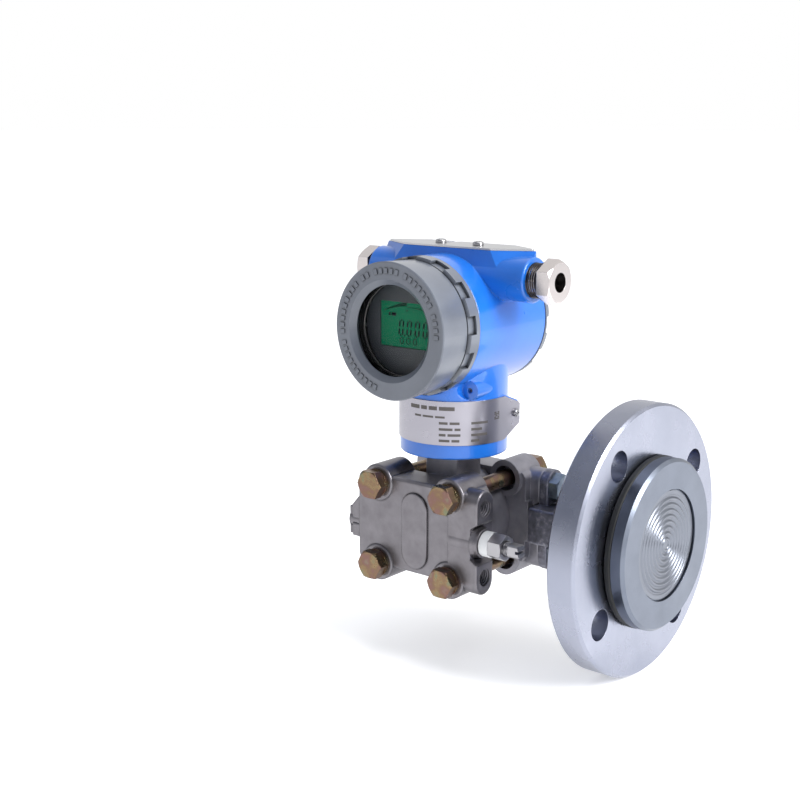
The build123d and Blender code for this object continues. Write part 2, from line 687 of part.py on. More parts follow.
def make_vent_body():
    """Hexagonal valve body with a taper thread towards the port and a countersunk bore."""
    inside = PORT_THREAD_DEPTH - TIP_ROOM
    thread = Pos(0, 0, -inside) * post(PORT_THREAD_R - SCREW_GAP, inside + VENT_TAPE_LENGTH)
    hexagonal = Pos(0, 0, VENT_TAPE_LENGTH) * hex_head(VENT_HEX_FLATS, VENT_HEX_LENGTH)
    hex_end = VENT_TAPE_LENGTH + VENT_HEX_LENGTH
    body = thread + hexagonal
    bore = Pos(0, 0, hex_end - VENT_STEM_REACH) * post(VENT_STEM_R + TURNING_GAP, VENT_STEM_REACH)
    seat = Cone(VENT_STEM_R, VENT_SEAT_R, VENT_SEAT_DEPTH, align=ON_BASE)
    bore = bore + Pos(0, 0, hex_end - VENT_SEAT_DEPTH) * seat
    outlet = Pos(0, 0, -inside) * post(PORT_PASSAGE_R / 2, inside + hex_end)
    return Pos(SIDE_FACE_X, -PORT_OFFSET, 0) * TO_PLUS_X * (body - bore - outlet)


def make_thread_tape():
    """White tape wound on the thread between the port and the hexagon."""
    points = [
        (PORT_THREAD_R, FACE_GAP),
        (VENT_TAPE_R - VENT_TAPE_EDGE, FACE_GAP),
        (VENT_TAPE_R, VENT_TAPE_EDGE),
        (VENT_TAPE_R, VENT_TAPE_LENGTH - VENT_TAPE_EDGE),
        (VENT_TAPE_R - VENT_TAPE_EDGE, VENT_TAPE_LENGTH - FACE_GAP),
        (PORT_THREAD_R, VENT_TAPE_LENGTH - FACE_GAP),
    ]
    return Pos(SIDE_FACE_X, -PORT_OFFSET, 0) * turned(points, TO_PLUS_X)


def make_vent_stem():
    """Bleed screw with a square slotted head."""
    hex_end = VENT_TAPE_LENGTH + VENT_HEX_LENGTH
    head_start = hex_end + VENT_STEM_OUT
    shank_length = VENT_STEM_REACH + VENT_STEM_OUT - FACE_GAP
    shank = Pos(0, 0, head_start - shank_length) * post(VENT_STEM_R, shank_length)
    half = VENT_STEM_FLATS / 2
    head = Pos(0, 0, head_start) * Box(2 * half, 2 * half, VENT_STEM_HEAD_LENGTH, align=ON_BASE)
    limit = Pos(0, 0, head_start) * post(half * 1.25, VENT_STEM_HEAD_LENGTH)
    limit = chamfer(limit.edges().group_by(Axis.Z)[-1], half * 0.2)
    slot_z = head_start + VENT_STEM_HEAD_LENGTH
    slot = Pos(0, 0, slot_z) * Box(VENT_SLOT_WIDTH, 3 * half, 2 * VENT_SLOT_DEPTH)
    stem = shank + (head & limit) - slot
    return Pos(SIDE_FACE_X, -PORT_OFFSET, 0) * TO_PLUS_X * stem


# Flange adapter on the high side port

def make_adapter():
    """Rough casting with two ears and a central block that carries the seal neck."""
    ear_start = SIDE_FACE_X + FACE_GAP
    ears = SlotCenterToCenter(SIDE_HOLE_SPACING + 2 * EAR_RISE, 2 * ADAPTER_EAR_R, rotation=90)
    plate = Pos(ear_start, PORT_OFFSET, 0) * extrude(Plane.YZ * ears, ADAPTER_EAR_THICKNESS)
    plate = fillet(plate.edges().group_by(Axis.X)[-1], CAST_EDGE)
    middle = block(
        ear_start, SIDE_FACE_X + ADAPTER_LENGTH,
        PORT_OFFSET - ADAPTER_HALF_Y, PORT_OFFSET + ADAPTER_HALF_Y,
        -ADAPTER_HALF_Z, ADAPTER_HALF_Z,
    )
    middle = fillet(middle.edges().filter_by(Axis.X), ADAPTER_EDGE)
    middle = fillet(middle.edges().group_by(Axis.X)[-1], ADAPTER_EDGE / 2)
    adapter = plate + middle
    for side in (-1, 1):
        hole = Pos(ear_start, PORT_OFFSET, side * SIDE_HOLE_SPACING / 2) * TO_PLUS_X
        adapter = adapter - hole * post(BOLT_HOLE_R, ADAPTER_EAR_THICKNESS)
    port = Pos(ear_start, PORT_OFFSET, 0) * TO_PLUS_X
    adapter = adapter - port * post(FILL_BORE_R, ADAPTER_LENGTH)
    return adapter - port * tube(GASKET_OUTER_R, GASKET_INNER_R, GASKET_THICKNESS)


def make_adapter_gasket():
    """White ring in the groove of the adapter's seat."""
    ring = tube(GASKET_OUTER_R - FACE_GAP, GASKET_INNER_R + FACE_GAP, GASKET_THICKNESS)
    return Pos(SIDE_FACE_X, PORT_OFFSET, 0) * TO_PLUS_X * ring


# Housing

def block_outline(flat_x, half_y):
    """Long six-sided outline, pointed at both ends."""
    tip = flat_x + half_y * BLOCK_END_SLOPE
    return make_face(Polyline(
        (-flat_x, -half_y), (flat_x, -half_y), (tip, 0), (flat_x, half_y), (-flat_x, half_y), (-tip, 0),
        close=True,
    ))


def make_top_block():
    """Six-sided block under the tag plate that flares down into both conduit bosses."""
    foot = Pos(0, 0, CONDUIT_Z) * block_outline(BLOCK_FOOT_FLAT_X, BLOCK_FOOT_HALF_Y)
    top = Pos(0, BLOCK_MID_Y, BLOCK_TOP_Z) * block_outline(BLOCK_FLAT_X, BLOCK_HALF_Y)
    flare = loft([foot, top], ruled=True)
    end = CONDUIT_END_X - 2 * CAST_EDGE
    flare = flare & block(-end, end, -BARREL_R, BARREL_R, CONDUIT_Z, BLOCK_TOP_Z)
    boss = Pos(-CONDUIT_END_X, 0, CONDUIT_Z) * TO_PLUS_X * post(CONDUIT_BOSS_R, 2 * CONDUIT_END_X)
    boss = fillet(boss.edges(), CAST_EDGE)
    return flare + boss


def along_barrel(y, shape):
    """Place a piece built along Z so that it starts at y and runs along the barrel to +Y."""
    return Pos(0, y, BARREL_Z) * TO_PLUS_Y * shape


def tab_outline(inset, rise):
    """Side view of a name plate's flat end, or of the lug behind it."""
    foot = BAND_BOTTOM_Z + inset
    top = BAND_TOP_Z + rise
    end = TAB_END_Y - inset
    return Polyline(
        (0, foot),
        (TAB_FLAT_Y, foot),
        (end, foot + TAB_FOOT_RISE),
        (end, top - TAB_TOP_DROP - TAB_CORNER),
        (end - TAB_CORNER, top - TAB_TOP_DROP),
        (TAB_FLAT_Y, top),
        (0, top),
        close=True,
    )


def make_housing():
    """Painted casting: barrel, top block, conduit bosses, neck and skirt."""
    barrel = along_barrel(BARREL_FRONT_Y, post(BARREL_R, BARREL_REAR_Y - BARREL_FRONT_Y))
    barrel = fillet(barrel.edges().filter_by(GeomType.CIRCLE), BARREL_EDGE)
    neck = Pos(0, 0, SKIRT_BOTTOM_Z) * post(NECK_R, BARREL_Z - SKIRT_BOTTOM_Z)
    neck = fillet(neck.edges().group_by(Axis.Z)[0], CAST_EDGE)
    neck = neck - along_barrel(BARREL_FRONT_Y - NOSE_LENGTH, post(COVER_RIM_R + COVER_GAP, NOSE_LENGTH))
    lug = extrude(Plane.YZ * make_face(tab_outline(LUG_INSET, LUG_MARGIN)), LUG_DEPTH)
    lug = Pos(NECK_R - LUG_DEPTH, 0, 0) * lug
    boss = Pos(SET_SCREW_X, SET_BOSS_FACE_Y, SET_SCREW_Z) * TO_PLUS_Y * post(SET_BOSS_R, SET_BOSS_LENGTH)
    casting = barrel + make_top_block() + neck + lug + mirror(lug, about=Plane.YZ) + boss
    nose = post(NOSE_R, NOSE_LENGTH)
    return casting + along_barrel(BARREL_FRONT_Y - NOSE_LENGTH, nose)


def cut_housing(casting):
    """Both compartments, conduit threads, can bore, button wells and screw holes."""
    front_end = BARREL_FRONT_Y - NOSE_LENGTH
    casting = casting - along_barrel(front_end, post(CAVITY_R, MODULE_BACK_Y - front_end))
    casting = casting - along_barrel(MID_WALL_Y, post(CAVITY_R, BARREL_REAR_Y - MID_WALL_Y))
    depth = BLANK_PLUG_LENGTH + COVER_GAP
    casting = casting - along_barrel(BARREL_REAR_Y - depth, post(NOSE_R + COVER_GAP, depth))
    depth = COVER_O_RING_LENGTH + SLIDING_GAP
    casting = casting - along_barrel(BARREL_REAR_Y - depth, post(COVER_O_RING_R + SCREW_GAP, depth))
    can_bore = post(CAN_R + TURNING_GAP, CAN_TOP_Z + FACE_GAP - SKIRT_BOTTOM_Z)
    casting = casting - Pos(0, 0, SKIRT_BOTTOM_Z) * can_bore
    casting = casting - Pos(0, 0, CAN_TOP_Z) * post(WIRE_HOLE_R, CAVITY_FLOOR_Z + CAST_EDGE - CAN_TOP_Z)
    for side, turn in ((1, TO_MINUS_X), (-1, TO_PLUS_X)):
        mouth = Pos(side * CONDUIT_END_X, 0, CONDUIT_Z) * turn
        casting = casting - mouth * post(CONDUIT_THREAD_R, CONDUIT_THREAD_DEPTH)
        casting = casting - mouth * post(CONDUIT_PASSAGE_R, CONDUIT_END_X - CONDUIT_BOSS_R)
    well_bottom = BLOCK_TOP_Z - BUTTON_WELL_DEPTH
    screw_bottom = BLOCK_TOP_Z - TAG_SCREW_LENGTH
    tag_hole = post(TAG_SCREW_R + TURNING_GAP, TAG_SCREW_LENGTH)
    band_hole = post(BAND_SCREW_R + SCREW_GAP, BAND_SCREW_LENGTH)
    for side, turn in ((1, TO_MINUS_X), (-1, TO_PLUS_X)):
        well = Pos(side * BUTTON_X, BUTTON_Y, well_bottom) * post(BUTTON_R + SLIDING_GAP, BUTTON_WELL_DEPTH)
        casting = casting - well - Pos(side * TAG_SCREW_X, BLOCK_MID_Y, screw_bottom) * tag_hole
        casting = casting - Pos(side * NECK_R, BAND_SCREW_Y, BAND_SCREW_Z) * turn * band_hole
    face = Pos(SET_SCREW_X, SET_BOSS_FACE_Y, SET_SCREW_Z)
    casting = casting - face * TO_MINUS_Y * post(SET_BOSS_R, -BARREL_FRONT_Y)
    return casting - face * TO_PLUS_Y * post(SET_SCREW_R + SCREW_GAP, SET_SCREW_SINK + SET_SCREW_LENGTH)


def make_set_screw():
    """Hex socket screw beside the can, deep in its boss, with its middle in the can's groove."""
    screw = post(SET_SCREW_R, SET_SCREW_LENGTH) - hexagon(SET_SCREW_R, SET_SCREW_SINK)
    return Pos(SET_SCREW_X, SET_BOSS_FACE_Y + SET_SCREW_SINK, SET_SCREW_Z) * TO_PLUS_Y * screw


def make_nameplate_band():
    """Stainless strip round the front of the neck that ends in two flats on the lugs."""
    inner = NECK_R + FACE_GAP
    hoop = tube(BAND_R, inner, BAND_TOP_Z - BAND_BOTTOM_Z)
    behind = block(-BAND_R, BAND_R, 0, BAND_R, 0, BAND_TOP_Z - BAND_BOTTOM_Z)
    band = Pos(0, 0, BAND_BOTTOM_Z) * (hoop - behind)
    tab = Pos(inner, 0, 0) * extrude(Plane.YZ * make_face(tab_outline(0, 0)), BAND_THICKNESS)
    hole = post(BAND_SCREW_R + SCREW_GAP, BAND_THICKNESS)
    tab = tab - Pos(inner, BAND_SCREW_Y, BAND_SCREW_Z) * TO_PLUS_X * hole
    return band + tab + mirror(tab, about=Plane.YZ)


def make_band_screws():
    """Pan screws through the flats of the name plate into the lugs."""
    screw = pan_screw(BAND_SCREW_R, BAND_SCREW_LENGTH, BAND_HEAD_R, BAND_HEAD_HEIGHT)
    right = Pos(BAND_R + TURNING_GAP, BAND_SCREW_Y, BAND_SCREW_Z) * TO_PLUS_X * screw
    return Compound([right, mirror(right, about=Plane.YZ)])


# Covers, drawn along Z from the housing's shoulder outwards

def cover_shell(length):
    """Outside of a cover with its wider rim next to the housing."""
    groove_r = COVER_R - RIM_GROOVE_DEPTH
    rim_end = RIM_LENGTH + RIM_SLOPE
    points = [
        (0, 0),
        (COVER_RIM_R, 0),
        (COVER_RIM_R, RIM_LENGTH),
        (groove_r, rim_end),
        (groove_r, rim_end + RIM_GROOVE_WIDTH),
        (COVER_R, rim_end + RIM_GROOVE_WIDTH),
        (COVER_FRONT_R, length - COVER_EDGE),
        (COVER_FRONT_R - COVER_EDGE, length),
        (0, length),
    ]
    return turned(points, Rot(0, 0, 0))


def rim_notches(start, height):
    """Pockets cut in the outside of a cover's rim, for a strap wrench."""
    ring = tube(COVER_RIM_R + 1, NOTCH_FLOOR_R, height)
    reach = 2 * COVER_RIM_R
    far = (reach * math.cos(math.radians(NOTCH_ARC)), reach * math.sin(math.radians(NOTCH_ARC)))
    wedge = extrude(make_face(Polyline((0, 0), (reach, 0), far, close=True)), height)
    pocket = Pos(0, 0, start) * (ring & wedge)
    return [Rot(0, 0, NOTCH_TURN + index * 360 / NOTCH_COUNT) * pocket for index in range(NOTCH_COUNT)]


def cover_thread_room():
    """Room inside a cover for the nose of the housing and the O-ring."""
    room = post(NOSE_R + COVER_GAP, NOSE_LENGTH + COVER_GAP)
    seat = post(COVER_O_RING_R + SCREW_GAP, COVER_O_RING_LENGTH + SLIDING_GAP)
    return room + seat


def raised_dashes(length):
    """Plain raised bars round the face of the front cover."""
    bars = []
    turn = 0.0
    bar = Box(DASH_LENGTH, math.radians(DASH_ARC) * DASH_INNER_R, 2 * DASH_HEIGHT)
    middle = (DASH_OUTER_R + DASH_INNER_R) / 2
    for count in DASH_COUNTS:
        for index in range(count):
            bars.append(Rot(0, 0, turn) * Pos(middle, 0, length) * bar)
            turn = turn + DASH_ARC + DASH_GAP
        turn = turn + DASH_GROUP_GAP
    return bars


def make_front_cover():
    """Window cover with a bevelled opening and raised bars on its face."""
    length = COVER_REAR_Y - COVER_FRONT_Y
    cover = cover_shell(length)
    for pocket in rim_notches(NOTCH_START, RIM_LENGTH + RIM_SLOPE - NOTCH_START):
        cover = cover - pocket
    cover = cover - cover_thread_room()
    lip = length - WINDOW_LIP
    glass_room = lip - NOSE_LENGTH
    cover = cover - Pos(0, 0, NOSE_LENGTH) * post(RETAINER_R + SCREW_GAP, glass_room - GLASS_THICKNESS)
    cover = cover - Pos(0, 0, NOSE_LENGTH) * post(GLASS_R + SCREW_GAP, glass_room)
    cover = cover - post(WINDOW_R, length)
    bevel = Cone(WINDOW_R, WINDOW_R + WINDOW_BEVEL, WINDOW_BEVEL, align=ON_BASE)
    cover = cover - Pos(0, 0, length - WINDOW_BEVEL) * bevel
    for bar in raised_dashes(length):
        cover = cover + bar
    return cover


def make_rear_cover():
    """Flat blank cover on a threaded plug, with a notched rim, a sunk centre and six grip lobes."""
    points = [
        (0, 0),
        (COVER_RIM_R, 0),
        (COVER_RIM_R, BLANK_THICKNESS - BLANK_SLOPE),
        (COVER_R, BLANK_THICKNESS),
        (0, BLANK_THICKNESS),
    ]
    plug = Pos(0, 0, -BLANK_PLUG_LENGTH) * tube(NOSE_R, CAVITY_R, BLANK_PLUG_LENGTH)
    cover = turned(points, Rot(0, 0, 0)) + plug
    for pocket in rim_notches(BLANK_NOTCH_START, BLANK_THICKNESS - BLANK_NOTCH_START):
        cover = cover - pocket
    cover = cover - Pos(0, 0, BLANK_THICKNESS - BLANK_DISC_DEPTH) * post(BLANK_DISC_R, BLANK_DISC_DEPTH)
    half = LOBE_GROOVE_WIDTH / 2
    groove = block(0, COVER_RIM_R, -half, half, BLANK_THICKNESS - LOBE_GROOVE_DEPTH, BLANK_THICKNESS)
    for index in range(LOBE_COUNT):
        cover = cover - Rot(0, 0, index * 360 / LOBE_COUNT) * groove
    return cover


def make_cover_o_ring():
    """O-ring round the thread of a cover, where the cover meets the housing."""
    ring = tube(COVER_O_RING_R, NOSE_R + SLIDING_GAP, COVER_O_RING_LENGTH)
    return fillet(ring.edges(), (COVER_O_RING_R - NOSE_R - SLIDING_GAP) * 0.3)


def glass_front():
    """Distance from the cover's mouth to the front of the window glass."""
    return COVER_REAR_Y - COVER_FRONT_Y - WINDOW_LIP


def make_window_glass():
    """Thick flat window with its gasket in front."""
    start = glass_front() - GASKET_SHEET - GLASS_THICKNESS
    glass = post(GLASS_R, GLASS_THICKNESS)
    return Pos(0, 0, start) * chamfer(glass.edges(), GASKET_SHEET / 2)


def make_glass_gasket():
    """Flat ring between the window and the cover's lip."""
    return Pos(0, 0, glass_front() - GASKET_SHEET) * tube(GLASS_R, WINDOW_R + 1, GASKET_SHEET)


def make_glass_retainer():
    """Threaded ring that holds the window from behind."""
    start = glass_front() - GASKET_SHEET - GLASS_THICKNESS - RETAINER_THICKNESS
    ring = tube(RETAINER_R, RETAINER_INNER_R, RETAINER_THICKNESS)
    slot = Box(2 * RETAINER_R, VENT_SLOT_WIDTH, RETAINER_THICKNESS)
    return Pos(0, 0, start) * (ring - slot)


# Inside the front compartment

def make_electronics_module():
    """Potted round module on the middle wall."""
    puck = post(MODULE_R, MODULE_LENGTH)
    puck = fillet(puck.edges().group_by(Axis.Z)[0], CAST_EDGE)
    module = along_barrel(MODULE_FRONT_Y, puck)
    for side in (-1, 1):
        bore = post(MODULE_SCREW_R + SCREW_GAP, MODULE_LENGTH)
        module = module - Pos(side * TERMINAL_PITCH, 0, 0) * along_barrel(MODULE_FRONT_Y, bore)
    return module


def make_module_screws():
    """Two long screws that hold the module to the middle wall."""
    screws = []
    for side in (-1, 1):
        screw = pan_screw(MODULE_SCREW_R, MODULE_LENGTH, MODULE_SCREW_HEAD_R, MODULE_SCREW_HEAD)
        screws.append(Pos(side * TERMINAL_PITCH, MODULE_FRONT_Y, BARREL_Z) * TO_MINUS_Y * screw)
    return Compound(screws)


def make_display_board():
    """Round board behind the display, on four feet that stand on the module."""
    feet_length = MODULE_FRONT_Y - BEZEL_BACK_Y - BOARD_THICKNESS
    board = along_barrel(BEZEL_BACK_Y, post(MODULE_R, BOARD_THICKNESS))
    for index in range(4):
        turn = math.radians(45 + 90 * index)
        x = STANDOFF_CIRCLE_R * math.cos(turn)
        z = STANDOFF_CIRCLE_R * math.sin(turn)
        foot = Pos(x, 0, z) * along_barrel(BEZEL_BACK_Y + BOARD_THICKNESS, post(STANDOFF_R, feet_length))
        board = board + foot
    return board


def lcd_frame(width, height, y, depth):
    """Upright block centred on the display, from y to y + depth."""
    middle = BARREL_Z + LCD_CENTRE_RISE
    return block(-width / 2, width / 2, y, y + depth, middle - height / 2, middle + height / 2)


def make_display_bezel():
    """Dark round mask with the opening for the LCD panel."""
    bezel = along_barrel(BEZEL_FRONT_Y, post(MODULE_R, BEZEL_THICKNESS))
    bezel = bezel - lcd_frame(LCD_WIDTH, LCD_HEIGHT, BEZEL_FRONT_Y, BEZEL_THICKNESS)
    pocket_y = BEZEL_BACK_Y - LCD_THICKNESS
    return bezel - lcd_frame(LCD_WIDTH + 2 * LCD_MARGIN, LCD_HEIGHT + 2 * LCD_MARGIN, pocket_y, LCD_THICKNESS)


def make_lcd_panel():
    """LCD panel lying in the pocket of the bezel."""
    margin = 2 * (LCD_MARGIN - SCREW_GAP)
    y = BEZEL_BACK_Y - LCD_THICKNESS + SCREW_GAP
    return lcd_frame(LCD_WIDTH + margin, LCD_HEIGHT + margin, y, LCD_THICKNESS - SCREW_GAP)


# Inside the rear compartment

def make_terminal_block():
    """Moulded block with a well for each terminal screw."""
    body = block(
        -TERMINAL_HALF_X, TERMINAL_HALF_X,
        MID_WALL_Y, MID_WALL_Y + TERMINAL_DEPTH,
        BARREL_Z - TERMINAL_BOTTOM * 0.8, BARREL_Z + TERMINAL_TOP,
    )
    body = fillet(body.edges().filter_by(Axis.Y), CAST_EDGE * 2)
    limit = along_barrel(MID_WALL_Y, post(CAVITY_R - COVER_GAP, TERMINAL_DEPTH))
    body = body & limit
    for place in terminal_places():
        body = body - place * post(TERMINAL_SCREW_R + SLIDING_GAP, 2 * TERMINAL_SCREW_HEAD)
        body = body - place * Pos(0, 0, -2 * TERMINAL_SCREW_HEAD) * post(TAG_SCREW_R, 4 * TERMINAL_SCREW_HEAD)
    return body


def terminal_places():
    """Seats of the terminal screws, with Z pointing out of the block."""
    base = MID_WALL_Y + TERMINAL_DEPTH - 2 * TERMINAL_SCREW_HEAD
    first = -(TERMINAL_COUNT - 1) / 2
    return [
        Pos((first + index) * TERMINAL_PITCH, base, BARREL_Z - LCD_CENTRE_RISE) * TO_PLUS_Y
        for index in range(TERMINAL_COUNT)
    ]


def make_terminal_screws():
    """Pan screws in the wells of the terminal block."""
    length = 2 * TERMINAL_SCREW_HEAD - SCREW_GAP
    screw = pan_screw(TAG_SCREW_R - SCREW_GAP, length, TERMINAL_SCREW_R, TERMINAL_SCREW_HEAD)
    return Compound([place * screw for place in terminal_places()])


# Tag plate, its screws and the two adjusting buttons

def make_tag_plate():
    """Thin plate on top with a pivot hole and a curved slot that lets it swing clear."""
    sheet = Pos(0, BLOCK_MID_Y, 0) * extrude(block_outline(BLOCK_FLAT_X, BLOCK_HALF_Y), TAG_THICKNESS)
    sheet = fillet(sheet.edges().filter_by(Axis.Z), TAG_CORNER)
    pivot = Pos(TAG_SCREW_X, BLOCK_MID_Y, 0)
    sheet = sheet - pivot * post(TAG_SCREW_R + TURNING_GAP, TAG_THICKNESS)
    reach = 2 * TAG_SCREW_X
    half = TAG_SCREW_R + SLIDING_GAP
    slot = tube(reach + half, reach - half, TAG_THICKNESS)
    leave = math.asin((BLOCK_HALF_Y + half) / reach) + math.radians(10)
    corner = (-2 * reach * math.cos(leave), 2 * reach * math.sin(leave))
    wedge = extrude(make_face(Polyline((0, 0), (-2 * reach, 0), corner, close=True)), TAG_THICKNESS)
    sheet = sheet - pivot * (slot & wedge)
    sheet = sheet - Pos(-TAG_SCREW_X, BLOCK_MID_Y, 0) * post(half, TAG_THICKNESS)
    return Pos(0, 0, BLOCK_TOP_Z + FACE_GAP) * sheet


def make_tag_screws():
    """Pivot screw and lock screw of the tag plate."""
    screw = pan_screw(TAG_SCREW_R, TAG_SCREW_LENGTH + TAG_THICKNESS, TAG_HEAD_R, TAG_HEAD_HEIGHT)
    base = TAG_TOP_Z + FACE_GAP
    return Compound([Pos(side * TAG_SCREW_X, BLOCK_MID_Y, base) * screw for side in (-1, 1)])


def make_button(side):
    """Push button in its well, zero on one side and span on the other."""
    button = post(BUTTON_R, BUTTON_HEIGHT)
    button = chamfer(button.edges().group_by(Axis.Z)[-1], FACE_GAP * 3)
    base = BLOCK_TOP_Z - BUTTON_SINK - BUTTON_HEIGHT
    return Pos(side * BUTTON_X, BUTTON_Y, base) * button


def make_button_spring(side):
    """Coil spring between the floor of the well and the button."""
    room = BUTTON_WELL_DEPTH - BUTTON_SINK - BUTTON_HEIGHT
    height = room - 2 * SPRING_WIRE_R - 2 * FACE_GAP
    path = Helix(height / SPRING_TURNS, height, SPRING_COIL_R)
    section = (path ^ 0) * Circle(SPRING_WIRE_R)
    coil = sweep(section, path=path, is_frenet=True)
    base = BLOCK_TOP_Z - BUTTON_WELL_DEPTH + SPRING_WIRE_R + FACE_GAP
    return Pos(side * BUTTON_X, BUTTON_Y, base) * coil


# Conduit gland on the right and blanking plug on the left

def make_gland_nut():
    """Hexagonal packing nut with a hollow thread, hand tight in the conduit entry."""
    shank_length = GLAND_HEX_START_X - CONDUIT_END_X + GLAND_THREAD_REACH
    shank = Pos(0, 0, -shank_length) * post(GLAND_THREAD_R, shank_length)
    head = hex_head(GLAND_FLATS, GLAND_HEX_LENGTH)
    nut = head + shank - Pos(0, 0, -shank_length) * post(GLAND_BORE_R, shank_length + GLAND_HEX_LENGTH)
    return Pos(GLAND_HEX_START_X, 0, CONDUIT_Z) * TO_PLUS_X * nut


def make_gland_seal():
    """Black ring on the thread, against the hexagon of the packing nut."""
    ring = tube(GLAND_SEAL_R, GLAND_THREAD_R + SCREW_GAP, GLAND_SEAL_THICKNESS)
    ring = fillet(rims_outside(ring, GLAND_THREAD_R + 1), GLAND_SEAL_EDGE)
    start = GLAND_HEX_START_X - FACE_GAP - GLAND_SEAL_THICKNESS
    return Pos(start, 0, CONDUIT_Z) * TO_PLUS_X * ring


def make_gland_washer():
    """Loose steel washer between the packing nut and the rubber."""
    ring = tube(CONDUIT_THREAD_R - SLIDING_GAP, GLAND_BORE_R, GLAND_WASHER_THICKNESS)
    tip = CONDUIT_END_X - GLAND_THREAD_REACH
    return Pos(tip - GLAND_WASHER_THICKNESS - FACE_GAP, 0, CONDUIT_Z) * TO_PLUS_X * ring


def make_gland_rubber():
    """Rubber bush at the bottom of the conduit entry."""
    bottom = CONDUIT_END_X - CONDUIT_THREAD_DEPTH
    washer_back = CONDUIT_END_X - GLAND_THREAD_REACH - GLAND_WASHER_THICKNESS - FACE_GAP
    bush = tube(CONDUIT_THREAD_R - SLIDING_GAP, GLAND_RUBBER_BORE_R, washer_back - bottom - FACE_GAP)
    return Pos(bottom, 0, CONDUIT_Z) * TO_PLUS_X * bush


def make_conduit_plug():
    """Hexagonal plug in the left conduit entry."""
    shank = Pos(0, 0, -PLUG_THREAD_LENGTH) * post(GLAND_THREAD_R, PLUG_THREAD_LENGTH + PLUG_STAND_OFF)
    head = Pos(0, 0, PLUG_STAND_OFF) * hex_head(PLUG_FLATS, PLUG_HEX_LENGTH)
    return Pos(-CONDUIT_END_X, 0, CONDUIT_Z) * TO_MINUS_X * (shank + head)


os.makedirs("parts", exist_ok=True)

low_side = cut_process_flange(make_process_flange())
save("low_side_flange", low_side)
save("high_side_flange", mirror(low_side, about=Plane.XZ))
save("sensor_cell", make_sensor_cell())
save("sensor_can", make_sensor_can())
save("amplifier_board", make_amplifier_board())
save("isolating_diaphragms", Compound(both_sides(make_isolator())))
save("process_o_rings", Compound(both_sides(make_process_o_ring())))
save("flange_bolts", make_flange_bolts())
save("flange_washers", make_flange_washers())
save("flange_nuts", make_flange_nuts())
save("side_plugs", make_side_plugs())
save("vent_body", make_vent_body())
save("thread_tape", make_thread_tape())
save("vent_stem", make_vent_stem())
save("flange_adapter", make_adapter())
save("adapter_gasket", make_adapter_gasket())
save("adapter_bolts", make_adapter_bolts())
save("seal_neck", make_seal_neck())
save("seal_body", make_seal_body())
save("seal_diaphragm", make_seal_diaphragm())
save("spacer_ring", make_spacer_ring())
save("mounting_flange", make_mounting_flange())

save("housing", cut_housing(make_housing()))
save("neck_set_screw", make_set_screw())
save("nameplate_band", make_nameplate_band())
save("band_screws", make_band_screws())
save("electronics_module", make_electronics_module())
save("module_screws", make_module_screws())
save("display_board", make_display_board())
save("display_bezel", make_display_bezel())
save("lcd_panel", make_lcd_panel())
save("terminal_block", make_terminal_block())
save("terminal_screws", make_terminal_screws())
save("tag_plate", make_tag_plate())
save("tag_plate_screws", make_tag_screws())
save("zero_button", make_button(1))
save("span_button", make_button(-1))
save("zero_spring", make_button_spring(1))
save("span_spring", make_button_spring(-1))
save("gland_nut", make_gland_nut())
save("gland_seal", make_gland_seal())
save("gland_washer", make_gland_washer())
save("gland_rubber", make_gland_rubber())
save("conduit_plug", make_conduit_plug())

FRONT = Pos(0, COVER_REAR_Y, BARREL_Z) * TO_MINUS_Y
REAR = Pos(0, REAR_COVER_START_Y, BARREL_Z) * TO_PLUS_Y
save("front_cover", FRONT * make_front_cover())
save("front_cover_o_ring", FRONT * make_cover_o_ring())
save("window_glass", FRONT * make_window_glass())
save("glass_gasket", FRONT * make_glass_gasket())
save("glass_retainer", FRONT * make_glass_retainer())
save("rear_cover", REAR * make_rear_cover())
save("rear_cover_o_ring", REAR * Pos(0, 0, -COVER_O_RING_LENGTH - FACE_GAP) * make_cover_o_ring())
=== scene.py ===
"""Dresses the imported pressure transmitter: finishes, fine detail, light and camera."""

import logging
import math
from dataclasses import dataclass
from enum import Enum

import bmesh
import bpy
from mathutils import Matrix, Vector


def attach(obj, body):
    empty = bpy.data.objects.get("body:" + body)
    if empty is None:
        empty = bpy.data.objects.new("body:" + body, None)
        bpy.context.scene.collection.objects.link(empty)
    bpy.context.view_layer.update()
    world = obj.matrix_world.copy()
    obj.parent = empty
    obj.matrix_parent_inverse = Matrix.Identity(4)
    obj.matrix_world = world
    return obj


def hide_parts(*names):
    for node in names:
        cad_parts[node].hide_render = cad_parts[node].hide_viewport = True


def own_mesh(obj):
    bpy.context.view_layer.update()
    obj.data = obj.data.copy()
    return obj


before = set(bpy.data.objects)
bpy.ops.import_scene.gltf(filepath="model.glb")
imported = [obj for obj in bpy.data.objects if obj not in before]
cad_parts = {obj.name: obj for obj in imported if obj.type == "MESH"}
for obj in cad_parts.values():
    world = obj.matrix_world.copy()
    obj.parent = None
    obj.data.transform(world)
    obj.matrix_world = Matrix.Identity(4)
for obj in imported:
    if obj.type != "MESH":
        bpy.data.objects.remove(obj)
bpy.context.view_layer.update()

LOG = logging.getLogger("transmitter")
MM = 0.001
FULL_TURN = 2 * math.pi

# The neck's axis in the frame of the mounting flange, in millimetres
NECK_X = -117.1
NECK_Y = -31.7
# Height of the axes of the display and of the conduits above the ports, in millimetres
DISPLAY_Z = 121.2
CONDUIT_Z = 148.6
# Height of the tapped holes in the ears, and place of the buttons either side of the neck's axis
EAR_HOLE_Z = 20.65
BUTTON_X = 31.0
# Where the helical ridges start along their holes and shanks
GLAND_THREAD_X = 47.0
VENT_THREAD_X = 61.2
EAR_THREAD_X = 46.0

# Band that a noise pattern mostly stays in
NOISE_LOW = 0.3
NOISE_HIGH = 0.7
